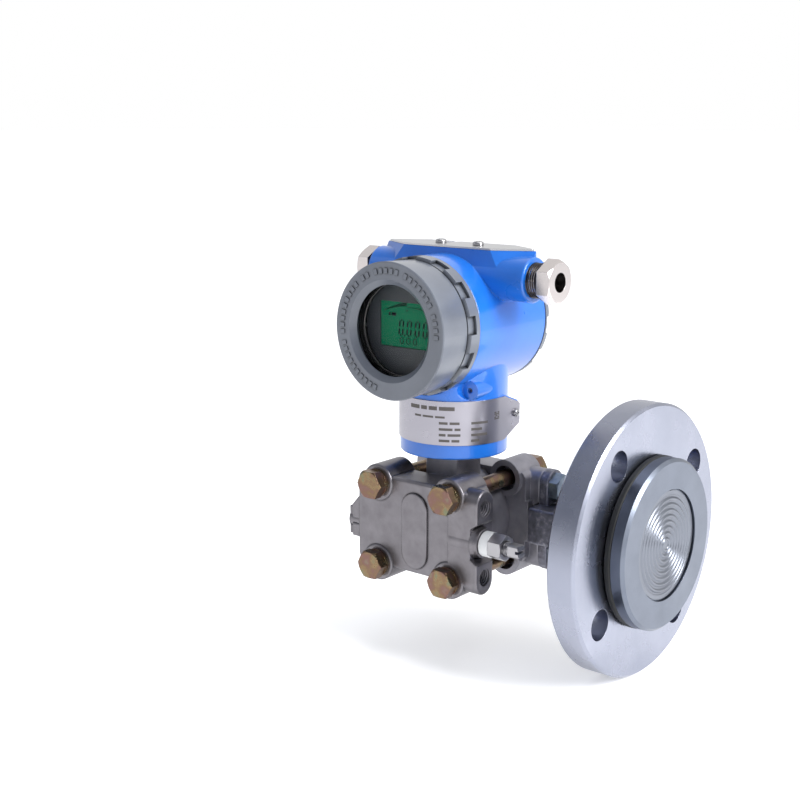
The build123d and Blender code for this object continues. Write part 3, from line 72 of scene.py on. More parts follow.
# How fine and how rough the patches of a noise pattern are
PATCH_DETAIL = 4.0
PATCH_ROUGHNESS = 0.55
# No surface here is smoother than this
LEAST_ROUGHNESS = 0.02
# How sharply the shade in a corner falls off
CORNER_CONTRAST = 2.2
# Height of lathe marks and brush lines, coarser than the real ones so that they show
MARK_DEPTH_MM = 0.02


def at(x: float, y: float, z: float) -> Vector:
    """Turns a place measured from the neck's axis into the flange's frame.

    Args:
        x: Millimetres from the neck's axis towards the flange.
        y: Millimetres from the neck's axis away from the display.
        z: Millimetres above the ports.

    Returns:
        The place in metres.
    """
    return Vector((x + NECK_X, y + NECK_Y, z)) * MM


def colour(code: str) -> tuple[float, float, float, float]:
    """Turns an sRGB hex code into a linear colour.

    Args:
        code: Six hex digits, with or without a leading hash.

    Returns:
        Linear red, green, blue and an alpha of one.
    """
    code = code.lstrip("#")
    parts = [int(code[i:i + 2], 16) / 255 for i in (0, 2, 4)]
    linear = [p / 12.92 if p <= 0.04045 else ((p + 0.055) / 1.055) ** 2.4 for p in parts]
    return (linear[0], linear[1], linear[2], 1.0)


def add_node(
    tree: bpy.types.NodeTree,
    kind: str,
    settings: dict | None = None,
    values: dict | None = None,
    links: dict | None = None,
) -> bpy.types.Node:
    """Adds one shader node with its settings, values and links.

    Args:
        tree: The tree that gets the node.
        kind: Blender's name for the node.
        settings: Properties of the node itself.
        values: Values of its input sockets.
        links: Output sockets that feed its input sockets.

    Returns:
        The new node.
    """
    node = tree.nodes.new(kind)
    for name, value in (settings or {}).items():
        setattr(node, name, value)
    for name, value in (values or {}).items():
        node.inputs[name].default_value = value
    for name, socket in (links or {}).items():
        tree.links.new(socket, node.inputs[name])
    return node


class Turning(Enum):
    """Axis that a lathe turned a piece about, as the share of each direction in the radius, or none."""

    NONE = None
    ABOUT_X = (0.0, 1.0, 1.0)


@dataclass(frozen=True)
class Finish:
    """One real surface: its colour, its gloss and the relief that its making left.

    Attributes:
        name: What the surface is and how it was made.
        base: Main colour.
        tones: Colours that mottle it, each with its place from 0 to 1.
        patch_mm: Size of the mottling.
        metallic: One for bare metal.
        roughness: Middle roughness.
        roughness_spread: How far the roughness wanders either way.
        grain_mm: Size of the fine relief.
        grain_depth_mm: Height of the fine relief.
        edge_mm: Radius that real edges are rounded to.
        coat: Strength of a clear gloss layer.
        coat_roughness: Roughness of that layer.
        turning: Axis of lathe marks.
        centre: A place on that axis.
        mark_mm: Spacing of lathe marks or brush lines.
        brushing: Scale of a brushed pattern along X, Y and Z, or none.
        anisotropic: Stretch of highlights on turned or brushed metal.
        alpha: Less than one for clear glass.
        glow: Strength of an emitted glow: painted light on the display, and an even white on the floor.
        corner_mm: Reach of the painted shade that darkens the colour in corners.
        specular: Strength of the mirror-like part, less on a surface bonded behind glass.
    """

    name: str
    base: str
    tones: tuple[tuple[float, str], ...] = ()
    patch_mm: float = 12.0
    metallic: float = 0.0
    roughness: float = 0.5
    roughness_spread: float = 0.05
    grain_mm: float = 0.6
    grain_depth_mm: float = 0.01
    edge_mm: float = 0.3
    coat: float = 0.0
    coat_roughness: float = 0.1
    turning: Turning = Turning.NONE
    centre: tuple[float, float, float] = (0.0, 0.0, 0.0)
    mark_mm: float = 0.5
    brushing: tuple[float, float, float] | None = None
    anisotropic: float = 0.0
    alpha: float = 1.0
    glow: float = 0.0
    corner_mm: float = 0.0
    specular: float = 0.5

    def build(self) -> bpy.types.Material:
        """Makes the material, or returns the one already made.

        Returns:
            The material.
        """
        found = bpy.data.materials.get(self.name)
        if found is not None:
            return found
        material = bpy.data.materials.new(self.name)
        material.use_nodes = True
        tree = material.node_tree
        tree.nodes.clear()
        place = add_node(tree, "ShaderNodeTexCoord").outputs["Object"]
        shader = add_node(tree, "ShaderNodeBsdfPrincipled", values={
            "Base Color": colour(self.base),
            "Metallic": self.metallic,
            "Roughness": self.roughness,
            "Coat Weight": self.coat,
            "Coat Roughness": self.coat_roughness,
            "Anisotropic": self.anisotropic,
            "Alpha": self.alpha,
            "Specular IOR Level": self.specular,
        })
        if self.glow:
            shader.inputs["Emission Color"].default_value = colour(self.base)
            shader.inputs["Emission Strength"].default_value = self.glow
        self._mottle(tree, place, shader)
        self._relief(tree, place, shader)
        add_node(tree, "ShaderNodeOutputMaterial", links={"Surface": shader.outputs[0]})
        return material

    def _mottle(
        self, tree: bpy.types.NodeTree, place: bpy.types.NodeSocket, shader: bpy.types.Node,
    ) -> None:
        """Lets colour and roughness wander over the surface.

        Args:
            tree: The material's nodes.
            place: Object coordinates in metres.
            shader: The surface shader.
        """
        patches = add_node(
            tree, "ShaderNodeTexNoise",
            values={"Scale": 1 / (self.patch_mm * MM), "Detail": PATCH_DETAIL, "Roughness": PATCH_ROUGHNESS},
            links={"Vector": place},
        )
        if self.tones:
            ramp = add_node(tree, "ShaderNodeValToRGB", links={"Fac": patches.outputs["Fac"]})
            stops = ramp.color_ramp.elements
            while len(stops) < len(self.tones):
                stops.new(0.5)
            for stop, (position, code) in zip(stops, self.tones):
                stop.position = position
                stop.color = colour(code)
            tree.links.new(ramp.outputs["Color"], shader.inputs["Base Color"])
            # Painted shade: the colour darkens where faces meet in a corner
            if self.corner_mm:
                self._corners(tree, ramp.outputs["Color"], shader)
        if self.roughness_spread:
            wander = add_node(tree, "ShaderNodeMapRange", values={
                "From Min": NOISE_LOW,
                "From Max": NOISE_HIGH,
                "To Min": max(self.roughness - self.roughness_spread, LEAST_ROUGHNESS),
                "To Max": self.roughness + self.roughness_spread,
            }, links={"Value": patches.outputs["Fac"]})
            tree.links.new(wander.outputs["Result"], shader.inputs["Roughness"])

    def _corners(
        self, tree: bpy.types.NodeTree, paint: bpy.types.NodeSocket, shader: bpy.types.Node,
    ) -> None:
        """Paints shade into the colour where faces meet in a corner.

        Args:
            tree: The material's nodes.
            paint: The colour in the open.
            shader: The surface shader.
        """
        openness = add_node(
            tree, "ShaderNodeAmbientOcclusion", {"samples": 6, "only_local": True},
            {"Distance": self.corner_mm * MM},
        )
        shade = add_node(tree, "ShaderNodeMath", {"operation": "POWER"}, links={0: openness.outputs["AO"]})
        shade.inputs[1].default_value = CORNER_CONTRAST
        dulled = add_node(tree, "ShaderNodeVectorMath", {"operation": "SCALE"}, links={
            0: paint, "Scale": shade.outputs[0],
        })
        tree.links.new(dulled.outputs[0], shader.inputs["Base Color"])

    def _relief(
        self, tree: bpy.types.NodeTree, place: bpy.types.NodeSocket, shader: bpy.types.Node,
    ) -> None:
        """Rounds the edges and adds grain, lathe marks and brush lines.

        Args:
            tree: The material's nodes.
            place: Object coordinates in metres.
            shader: The surface shader.
        """
        normal = None
        if self.edge_mm:
            edge = add_node(tree, "ShaderNodeBevel", {"samples": 4}, {"Radius": self.edge_mm * MM})
            normal = edge.outputs["Normal"]
        if self.grain_depth_mm:
            grain = add_node(
                tree, "ShaderNodeTexNoise",
                values={"Scale": 1 / (self.grain_mm * MM), "Detail": 3.0},
                links={"Vector": place},
            )
            normal = self._bump(tree, grain.outputs["Fac"], self.grain_depth_mm, normal)
        if self.turning is not Turning.NONE:
            normal = self._lathe(tree, place, normal)
            if self.anisotropic:
                axis = self.turning.name[-1]
                tangent = add_node(tree, "ShaderNodeTangent", {"direction_type": "RADIAL", "axis": axis})
                tree.links.new(tangent.outputs[0], shader.inputs["Tangent"])
        if self.brushing:
            stretched = add_node(
                tree, "ShaderNodeMapping",
                values={"Scale": tuple(share / (self.mark_mm * MM) for share in self.brushing)},
                links={"Vector": place},
            )
            lines = add_node(
                tree, "ShaderNodeTexNoise", values={"Scale": 1.0, "Detail": 2.0},
                links={"Vector": stretched.outputs[0]},
            )
            normal = self._bump(tree, lines.outputs["Fac"], MARK_DEPTH_MM, normal)
        if normal is not None:
            tree.links.new(normal, shader.inputs["Normal"])

    def _bump(
        self,
        tree: bpy.types.NodeTree,
        height: bpy.types.NodeSocket,
        depth_mm: float,
        normal: bpy.types.NodeSocket | None,
    ) -> bpy.types.NodeSocket:
        """Raises the surface by a pattern.

        Args:
            tree: The material's nodes.
            height: Pattern from 0 to 1.
            depth_mm: Height at a pattern of one.
            normal: The normal before this pattern.

        Returns:
            The new normal.
        """
        links = {"Height": height}
        if normal is not None:
            links["Normal"] = normal
        bump = add_node(
            tree, "ShaderNodeBump", values={"Strength": 1.0, "Distance": depth_mm * MM}, links=links,
        )
        return bump.outputs["Normal"]

    def _lathe(
        self,
        tree: bpy.types.NodeTree,
        place: bpy.types.NodeSocket,
        normal: bpy.types.NodeSocket | None,
    ) -> bpy.types.NodeSocket:
        """Cuts fine rings about the turning axis, on end faces and on barrels alike.

        Args:
            tree: The material's nodes.
            place: Object coordinates in metres.
            normal: The normal before the rings.

        Returns:
            The new normal.
        """
        spread = self.turning.value
        along = tuple(1.0 - share for share in spread)
        centred = add_node(
            tree, "ShaderNodeVectorMath", {"operation": "SUBTRACT"}, links={0: place},
        )
        centred.inputs[1].default_value = tuple(at(*self.centre))
        outward = add_node(
            tree, "ShaderNodeVectorMath", {"operation": "MULTIPLY"}, links={0: centred.outputs[0]},
        )
        outward.inputs[1].default_value = spread
        radius = add_node(
            tree, "ShaderNodeVectorMath", {"operation": "LENGTH"}, links={0: outward.outputs[0]},
        )
        axial = add_node(
            tree, "ShaderNodeVectorMath", {"operation": "DOT_PRODUCT"}, links={0: centred.outputs[0]},
        )
        axial.inputs[1].default_value = along
        both = add_node(tree, "ShaderNodeMath", {"operation": "ADD"}, links={
            0: radius.outputs["Value"], 1: axial.outputs["Value"],
        })
        rings = add_node(
            tree, "ShaderNodeTexNoise", {"noise_dimensions": "1D"},
            {"Scale": 1 / (self.mark_mm * MM), "Detail": 2.0},
            {"W": both.outputs[0]},
        )
        return self._bump(tree, rings.outputs["Fac"], MARK_DEPTH_MM, normal)


FLANGE_AXIS = (-NECK_X, -NECK_Y, 0.0)
VENT_AXIS = (60.0, NECK_Y, 0.0)

# Baked gloss enamel on a die casting: smooth, deep and mirror-like, with a faint orange peel
BLUE_ENAMEL = Finish(
    "gloss_blue_enamel", "#1766C4", ((0.35, "#1562BE"), (0.65, "#1A6BCB")), 30.0,
    roughness=0.30, roughness_spread=0.03, grain_mm=1.6, grain_depth_mm=0.006, edge_mm=0.9,
    coat=0.45, coat_roughness=0.05,
)
# Sprayed satin enamel on a die casting: an even mid grey with a soft sheen, and painted shade in its corners
GREY_ENAMEL = Finish(
    "satin_grey_enamel", "#5F646E", ((0.35, "#5B606A"), (0.65, "#636872")), 25.0,
    roughness=0.34, roughness_spread=0.03, grain_mm=0.7, grain_depth_mm=0.008, edge_mm=0.35,
    coat=0.5, coat_roughness=0.20, corner_mm=2.0,
)
# Investment-cast stainless, bead blasted: grey, faintly warm, with a silky grain, and painted shade in its
# corners and holes
BLASTED_STEEL = Finish(
    "bead_blasted_stainless", "#757276", ((0.3, "#6C696D"), (0.7, "#7F7C80")), 9.0,
    metallic=0.9, roughness=0.36, roughness_spread=0.05, grain_mm=0.45, grain_depth_mm=0.02, edge_mm=0.9,
    corner_mm=1.2,
)
# The same casting behind, in a lighter, less metallic copy of its finish: painted light that lifts these
# parts out of the shade they sit in
PICKLED_STEEL = Finish(
    "pickled_stainless", "#8A8990", ((0.3, "#7F7E85"), (0.7, "#96949B")), 9.0,
    metallic=0.75, roughness=0.44, roughness_spread=0.05, grain_mm=0.45, grain_depth_mm=0.02, edge_mm=0.9,
)
# Turned stainless plate: bright, with rings from the lathe that fan the light out
TURNED_PLATE = Finish(
    "turned_stainless_plate", "#9699A7", ((0.3, "#9094A2"), (0.7, "#9EA1AF")), 30.0,
    metallic=1.0, roughness=0.27, roughness_spread=0.04, grain_depth_mm=0.0, edge_mm=0.3,
    turning=Turning.ABOUT_X, centre=FLANGE_AXIS, mark_mm=0.45, anisotropic=0.75,
)
# The sealing face turned on a coarser feed, duller than the plate round it
TURNED_FACE = Finish(
    "coarse_turned_stainless", "#6E7480", ((0.3, "#686E7A"), (0.7, "#767C88")), 20.0,
    metallic=1.0, roughness=0.34, roughness_spread=0.04, grain_depth_mm=0.0, edge_mm=0.3,
    turning=Turning.ABOUT_X, centre=FLANGE_AXIS, mark_mm=0.8, anisotropic=0.45,
)
# Turned stainless bar for the small fittings
TURNED_BAR = Finish(
    "turned_stainless_bar", "#A09FA2", metallic=1.0, roughness=0.32, roughness_spread=0.03,
    grain_depth_mm=0.0, edge_mm=0.2, turning=Turning.ABOUT_X, centre=VENT_AXIS, mark_mm=0.4,
)
# Rolled stainless foil of the diaphragm
FOIL = Finish(
    "rolled_stainless_foil", "#767A83", metallic=1.0, roughness=0.36, roughness_spread=0.03,
    grain_depth_mm=0.0, edge_mm=0.0, turning=Turning.ABOUT_X, centre=FLANGE_AXIS, mark_mm=0.6,
)
# Yellow chromate over zinc: gold with pink and green clouds
YELLOW_ZINC = Finish(
    "yellow_chromate_zinc", "#786250",
    ((0.30, "#70725C"), (0.42, "#806C52"), (0.52, "#76604E"), (0.62, "#785C56"), (0.74, "#7C7262")), 7.0,
    metallic=1.0, roughness=0.30, roughness_spread=0.06, grain_mm=0.5, grain_depth_mm=0.012, edge_mm=0.35,
)
# Clear chromate over zinc: cold grey with a blue cast, slightly clouded
BLUE_ZINC = Finish(
    "clear_chromate_zinc", "#8D97A3", ((0.35, "#7B8692"), (0.55, "#93A0AB"), (0.7, "#9AA39B")), 6.0,
    metallic=1.0, roughness=0.36, roughness_spread=0.08, grain_mm=0.5, grain_depth_mm=0.015, edge_mm=0.35,
)
# Nickel plate on turned brass: bright and slightly warm
BRIGHT_NICKEL = Finish(
    "bright_nickel_plate", "#CFC8C6", metallic=1.0, roughness=0.16, roughness_spread=0.03,
    grain_mm=0.8, grain_depth_mm=0.004, edge_mm=0.3,
)
# The thread under the hexagon, coloured dark
GREASY_THREAD = Finish(
    "greased_nickel_thread", "#4A4645", metallic=1.0, roughness=0.24, roughness_spread=0.05,
    grain_depth_mm=0.0, edge_mm=0.0,
)
# Stainless strip, brushed along its length
BRUSHED_STRIP = Finish(
    "brushed_stainless_strip", "#9E9CA4", metallic=1.0, roughness=0.30, roughness_spread=0.05,
    grain_depth_mm=0.0, edge_mm=0.2, mark_mm=0.35, brushing=(0.02, 0.02, 1.0), anisotropic=0.4,
)
# Stainless tag sheet, brushed lengthwise
BRUSHED_TAG = Finish(
    "brushed_stainless_sheet", "#B8B8BA", metallic=1.0, roughness=0.32, roughness_spread=0.04,
    grain_depth_mm=0.0, edge_mm=0.15, mark_mm=0.35, brushing=(0.02, 1.0, 1.0),
)
# Cold-headed stainless screws
SCREW_STEEL = Finish(
    "cold_headed_stainless", "#A8A7A9", metallic=1.0, roughness=0.22, roughness_spread=0.04,
    grain_mm=0.4, grain_depth_mm=0.006, edge_mm=0.2,
)
# Sand-cast steel, oiled dark: coarse skin with bright rubbed specks
SAND_CAST = Finish(
    "oiled_sand_cast_steel", "#7A7A84", ((0.30, "#65656E"), (0.58, "#7E7E89"), (0.74, "#A6A6AE")), 3.0,
    metallic=0.85, roughness=0.46, roughness_spread=0.10, grain_mm=1.1, grain_depth_mm=0.12, edge_mm=0.9,
)
# Moulded nitrile rubber
NITRILE = Finish(
    "moulded_nitrile_rubber", "#0A0C0E", roughness=0.6, grain_mm=0.6, grain_depth_mm=0.01, edge_mm=0.3,
)
# Wound PTFE tape: matt white, slightly waxy
PTFE_TAPE = Finish(
    "wound_ptfe_tape", "#D6D7D8", roughness=0.45, grain_mm=1.4, grain_depth_mm=0.05, edge_mm=0.0,
)
# Toughened glass, polished
WINDOW_GLASS = Finish(
    "toughened_window_glass", "#0E1212", roughness=0.03, roughness_spread=0.0, grain_depth_mm=0.0,
    edge_mm=0.0, alpha=0.10,
)
# Black anodised aluminium
BLACK_ANODISE = Finish(
    "black_anodised_aluminium", "#131518", metallic=0.6, roughness=0.35, grain_depth_mm=0.004, edge_mm=0.2,
)
# Moulded dark grey polycarbonate
DARK_MOULDING = Finish(
    "dark_moulded_polycarbonate", "#3A3F45", roughness=0.42, grain_mm=0.5, grain_depth_mm=0.008,
    edge_mm=0.2,
)
# Liquid crystal glass: an even, deep green, with a painted glow that brightens it
LCD_GREEN = Finish(
    "backlit_liquid_crystal", "#076F4C", roughness=0.40, roughness_spread=0.0, grain_depth_mm=0.0,
    edge_mm=0.0, glow=0.20, specular=0.1,
)
# Switched segments of the liquid crystal
LCD_INK = Finish(
    "switched_crystal_segments", "#020E16", roughness=0.5, roughness_spread=0.0, grain_depth_mm=0.0,
    edge_mm=0.0, specular=0.1,
)
# Green solder mask on fibreglass
SOLDER_MASK = Finish(
    "green_solder_mask", "#0E4A27", roughness=0.35, grain_mm=0.8, grain_depth_mm=0.01, edge_mm=0.0,
)
# Moulded red polyamide
RED_MOULDING = Finish(
    "red_moulded_polyamide", "#8E1F1A", roughness=0.4, grain_mm=0.5, grain_depth_mm=0.008, edge_mm=0.2,
)
# Etched and blackened print on the stainless strip
ETCHED_PRINT = Finish(
    "etched_black_print", "#55514F", metallic=0.4, roughness=0.5, roughness_spread=0.0,
    grain_depth_mm=0.0, edge_mm=0.0,
)

# White sweep of the studio: matt paint, lit from behind as well so that it stays white
WHITE_FLOOR = Finish(
    "white_painted_floor", "#FFFFFF", roughness=0.9, roughness_spread=0.02, patch_mm=80.0,
    grain_depth_mm=0.0, edge_mm=0.0, glow=0.34,
)

NODE_FINISHES: dict[str, Finish] = {
    "housing": BLUE_ENAMEL,
    "front_cover": GREY_ENAMEL,
    "rear_cover": GREY_ENAMEL,
    "low_side_flange": BLASTED_STEEL,
    "high_side_flange": PICKLED_STEEL,
    "sensor_cell": PICKLED_STEEL,
    "sensor_can": TURNED_BAR,
    "side_plugs": BLASTED_STEEL,
    "mounting_flange": TURNED_PLATE,
    "seal_body": TURNED_FACE,
    "seal_neck": TURNED_PLATE,
    "seal_diaphragm": FOIL,
    "isolating_diaphragms": FOIL,
    "vent_body": TURNED_BAR,
    "vent_stem": TURNED_BAR,
    "flange_bolts": YELLOW_ZINC,
    "flange_nuts": YELLOW_ZINC,
    "flange_washers": YELLOW_ZINC,
    "adapter_bolts": BLUE_ZINC,
    "flange_adapter": SAND_CAST,
    "spacer_ring": NITRILE,
    "process_o_rings": NITRILE,
    "front_cover_o_ring": NITRILE,
    "rear_cover_o_ring": NITRILE,
    "glass_gasket": NITRILE,
    "gland_rubber": NITRILE,
    "gland_seal": NITRILE,
    "thread_tape": PTFE_TAPE,
    "adapter_gasket": PTFE_TAPE,
    "window_glass": WINDOW_GLASS,
    "glass_retainer": BLACK_ANODISE,
    "display_bezel": DARK_MOULDING,
    "electronics_module": DARK_MOULDING,
    "terminal_block": DARK_MOULDING,
    "lcd_panel": LCD_GREEN,
    "display_board": SOLDER_MASK,
    "amplifier_board": SOLDER_MASK,
    "gland_nut": BRIGHT_NICKEL,
    "gland_washer": BRIGHT_NICKEL,
    "conduit_plug": BRIGHT_NICKEL,
    "nameplate_band": BRUSHED_STRIP,
    "tag_plate": BRUSHED_TAG,
    "band_screws": SCREW_STEEL,
    "tag_plate_screws": SCREW_STEEL,
    "neck_set_screw": SCREW_STEEL,
    "module_screws": SCREW_STEEL,
    "terminal_screws": SCREW_STEEL,
    "zero_spring": SCREW_STEEL,
    "span_spring": SCREW_STEEL,
    "zero_button": RED_MOULDING,
    "span_button": RED_MOULDING,
}


def dress(piece: bpy.types.Object, finish: Finish) -> None:
    """Gives every material slot of a piece one finish.

    Args:
        piece: The object to dress.
        finish: The surface it gets.
    """
    material = finish.build()
    piece.data.materials.clear()
    piece.data.materials.append(material)


def dress_nodes() -> None:
    """Gives each CAD piece the finish of the real one."""
    for name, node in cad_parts.items():
        dress(node, NODE_FINISHES[name])
        LOG.info("dressed %s in %s", name, NODE_FINISHES[name].name)


def finish_piece(
    mesh: bmesh.types.BMesh, name: str, body: str, finish: Finish, smooth: bool,
) -> bpy.types.Object:
    """Turns a bmesh into a dressed object that rides on a body.

    Args:
        mesh: The finished shape, in metres.
        name: Name of the new object.
        body: CAD body that carries it.
        finish: Its surface.
        smooth: Whether its faces are shaded smooth.

    Returns:
        The new object.
    """
    bmesh.ops.recalc_face_normals(mesh, faces=mesh.faces)
    data = bpy.data.meshes.new(name)
    mesh.to_mesh(data)
    mesh.free()
    for face in data.polygons:
        face.use_smooth = smooth
    piece = bpy.data.objects.new(name, data)
    bpy.context.scene.collection.objects.link(piece)
    dress(piece, finish)
    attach(piece, body)
    LOG.info("built %s on %s, %d faces", name, body, len(data.polygons))
    return piece


@dataclass
class Display:
    """Ink of the liquid crystal: a bar graph on an arc, the reading and a row of frames below.

    Attributes:
        face_y: Front face of the liquid crystal.
        ink_depth: Thickness of the ink.
        digits: How many zeros there are.
        digit_width: Width of a zero.
        digit_height: Height of a zero.
        digit_pitch: Distance between zeros.
        digit_left: Left edge of the first zero.
        digit_low: Foot of the zeros.
        lean: How far a zero leans for each millimetre of height.
        stroke: Width of a lit segment.
        upright_cut: Length that an upright segment lacks of half a zero, in strokes.
        level_cut: Length that a level segment lacks of a zero's width, in strokes.
        uprights: Heights of the middles of the upright segments, as shares of a zero's height.
        bars: How many bars the graph has.
        bar_left: Place of its first bar.
        bar_right: Place of its last bar.
        bar_low: Foot of its first bar.
        bar_high: Foot of its last bar.
        bar_bend: How strongly the arc of the bars' feet bends.
        bar_least: Height of the first bar.
        bar_growth: How much higher the last bar is.
        bar_width: Width of a bar.
        bar_turn: Slant of its first bar in degrees.
        dashes: How many dashes carry the arc on.
        dash_left: Place of the first dash.
        dash_run: Distance from it to the last.
        dash_high: Height of the first dash.
        dash_drop: How much lower the last one is.
        dash_wide: Length of a dash.
        dash_thick: Height of a dash.
        dash_turn: Slant of the last dash in degrees.
        marks: Middle across, middle in height, width and height of the small marks.
        frames: How many frames stand in the row below.
        frame_left: Place of the first frame.
        frame_pitch: Distance between frames.
        frame_low: Foot of the frames.
        frame_bars: The same four numbers for each side of a frame.
    """

    face_y: float = -45.34
    ink_depth: float = 0.06
    digits: int = 4
    digit_width: float = 3.7
    digit_height: float = 9.6
    digit_pitch: float = 5.85
    digit_left: float = -5.9
    digit_low: float = 116.5
    lean: float = 0.09
    stroke: float = 1.05
    upright_cut: float = 1.4
    level_cut: float = 2.6
    uprights: tuple[float, float] = (0.26, 0.74)
    bars: int = 12
    bar_left: float = -16.0
    bar_right: float = -0.2
    bar_low: float = 130.2
    bar_high: float = 133.7
    bar_bend: float = 1.5
    bar_least: float = 0.5
    bar_growth: float = 1.9
    bar_width: float = 1.05
    bar_turn: float = 8.0
    dashes: int = 8
    dash_left: float = 1.6
    dash_run: float = 11.5
    dash_high: float = 133.3
    dash_drop: float = 0.9
    dash_wide: float = 1.7
    dash_thick: float = 0.4
    dash_turn: float = -9.0
    marks: tuple[tuple[float, float, float, float], ...] = (
        (-12.2, 128.6, 1.4, 1.9), (-9.1, 128.6, 3.4, 1.9), (0.6, 131.3, 1.3, 1.0),
    )
    frames: int = 3
    frame_left: float = -4.4
    frame_pitch: float = 4.8
    frame_low: float = 112.2
    frame_bars: tuple[tuple[float, float, float, float], ...] = (
        (0.0, 1.6, 0.6, 2.6), (2.4, 1.6, 0.6, 2.6), (1.2, 3.3, 1.8, 0.6), (1.2, 0.1, 1.8, 0.6),
    )

    def _bar(
        self, mesh: bmesh.types.BMesh, x: float, z: float, wide: float, high: float, turn: float = 0.0,
    ) -> None:
        """Adds one flat segment.

        Args:
            mesh: The ink's mesh.
            x: Middle of the segment across the display, in millimetres.
            z: Middle of the segment in height, in millimetres.
            wide: Width in millimetres.
            high: Height in millimetres.
            turn: Turn about the viewing axis, in degrees.
        """
        place = Matrix.Translation(at(x, self.face_y, z)) @ Matrix.Rotation(math.radians(-turn), 4, "Y")
        size = Matrix.Diagonal((wide * MM, self.ink_depth * MM, high * MM, 1.0))
        bmesh.ops.create_cube(mesh, size=1.0, matrix=place @ size)

    def _zero(self, mesh: bmesh.types.BMesh, left: float) -> None:
        """Adds the six lit segments of a zero, leaning a little to the right.

        Args:
            mesh: The ink's mesh.
            left: Left edge of the digit in millimetres.
        """
        half = self.stroke / 2
        # The segments stop short of each other at the corners and in the middle
        upright = self.digit_height / 2 - self.stroke * self.upright_cut
        level = self.digit_width - self.stroke * self.level_cut
        tilt = -math.degrees(math.atan(self.lean))
        for start in (left + half, left + self.digit_width - half):
            for share in self.uprights:
                rise = self.digit_height * share
                self._bar(mesh, start + self.lean * rise, self.digit_low + rise, self.stroke, upright, tilt)
        for rise in (half, self.digit_height - half):
            middle = left + self.digit_width / 2 + self.lean * rise
            self._bar(mesh, middle, self.digit_low + rise, level, self.stroke)

    def _graph(self, mesh: bmesh.types.BMesh) -> None:
        """Adds the growing bars on their arc and the thin line that carries on from them.

        Args:
            mesh: The ink's mesh.
        """
        span = self.bar_right - self.bar_left
        for index in range(self.bars):
            share = index / (self.bars - 1)
            rise = self.bar_low + (self.bar_high - self.bar_low) * (1 - (1 - share) ** self.bar_bend)
            height = self.bar_least + self.bar_growth * share
            self._bar(
                mesh, self.bar_left + span * share, rise + height / 2, self.bar_width, height,
                self.bar_turn * (1 - share),
            )
        for index in range(self.dashes):
            share = index / (self.dashes - 1)
            self._bar(
                mesh, self.dash_left + self.dash_run * share, self.dash_high - self.dash_drop * share ** 2,
                self.dash_wide, self.dash_thick, self.dash_turn * share,
            )

    def build(self) -> None:
        """Builds all the ink as one piece."""
        mesh = bmesh.new()
        self._graph(mesh)
        for index in range(self.digits):
            self._zero(mesh, self.digit_left + index * self.digit_pitch)
        point_x = self.digit_left + self.digit_pitch - (self.digit_pitch - self.digit_width) / 2
        self._bar(mesh, point_x, self.digit_low + self.stroke / 2, self.stroke, self.stroke)
        for mark in self.marks:
            self._bar(mesh, *mark)
        for index in range(self.frames):
            left = self.frame_left + index * self.frame_pitch
            for x, z, wide, high in self.frame_bars:
                self._bar(mesh, left + x, self.frame_low + z, wide, high)
        finish_piece(mesh, "display_ink", "housing", LCD_INK, False)


@dataclass
class WindowRing:
    """Polished edge where the window's retaining ring meets the glass.

    Attributes:
        name: Name of the piece.
        inner: Inner radius.
        outer: Outer radius.
        front_y: Place of its front face.
        thickness: Its thickness.
        steps: Steps round it.
    """

    name: str = "glass_edge_ring"
    inner: float = 26.35
    outer: float = 26.95
    front_y: float = -51.05
    thickness: float = 0.35
    steps: int = 128

    def build(self) -> None:
        """Spins a small square profile round the window."""
        mesh = bmesh.new()
        corners = [
            mesh.verts.new(at(radius, self.front_y + step, DISPLAY_Z))
            for radius, step in (
                (self.inner, 0.0), (self.outer, 0.0),
                (self.outer, self.thickness), (self.inner, self.thickness),
            )
        ]
        edges = [mesh.edges.new((corner, corners[index - 1])) for index, corner in enumerate(corners)]
        bmesh.ops.spin(
            mesh, geom=[*edges, *corners], cent=at(0, 0, DISPLAY_Z), axis=(0, 1, 0),
            angle=FULL_TURN, steps=self.steps, use_merge=True, use_duplicate=False,
        )
        finish_piece(mesh, self.name, "front_cover", BRIGHT_NICKEL, False)


@dataclass
class Thread:
    """A helical ridge, made by sweeping one small profile along a screw line.

    Attributes:
        name: Name of the piece.
        body: CAD body that carries it.
        slot: The record's material slot; not used.
        finish: Its surface.
        origin: Where the screw line starts, in metres.
        axis: Direction that it climbs in.
        across: Direction from the axis to its start.
        core: Radius of the ridge's foot.
        crest: Radius of its top, less than the core in a tapped hole.
        pitch: Climb in one turn.
        turns: Number of turns.
        steps: Steps in one turn.
        foot: Half the ridge's width at its foot, as a share of the pitch.
        top: The same at its top.
    """

    name: str
    body: str
    slot: str
    finish: Finish
    origin: Vector
    axis: Vector
    across: Vector
    core: float
    crest: float
    pitch: float
    turns: float
    steps: int = 48
    foot: float = 0.42
    top: float = 0.07

    def build(self) -> bpy.types.Object:
        """Sweeps the ridge and closes its ends.

        Returns:
            The ridge.
        """
        mesh = bmesh.new()
        profile = [
            (self.core, -self.foot), (self.crest, -self.top),
            (self.crest, self.top), (self.core, self.foot),
        ]
        corners = [
            mesh.verts.new(self.origin + (self.across * radius + self.axis * (share * self.pitch)) * MM)
            for radius, share in profile
        ]
        face = mesh.faces.new(corners)
        bmesh.ops.spin(
            mesh, geom=[face, *face.edges, *face.verts], cent=self.origin, axis=self.axis,
            dvec=self.axis * (self.pitch * MM / self.steps), angle=FULL_TURN * self.turns,
            steps=round(self.steps * self.turns), use_duplicate=False,
        )
        return finish_piece(mesh, self.name, self.body, self.finish, True)


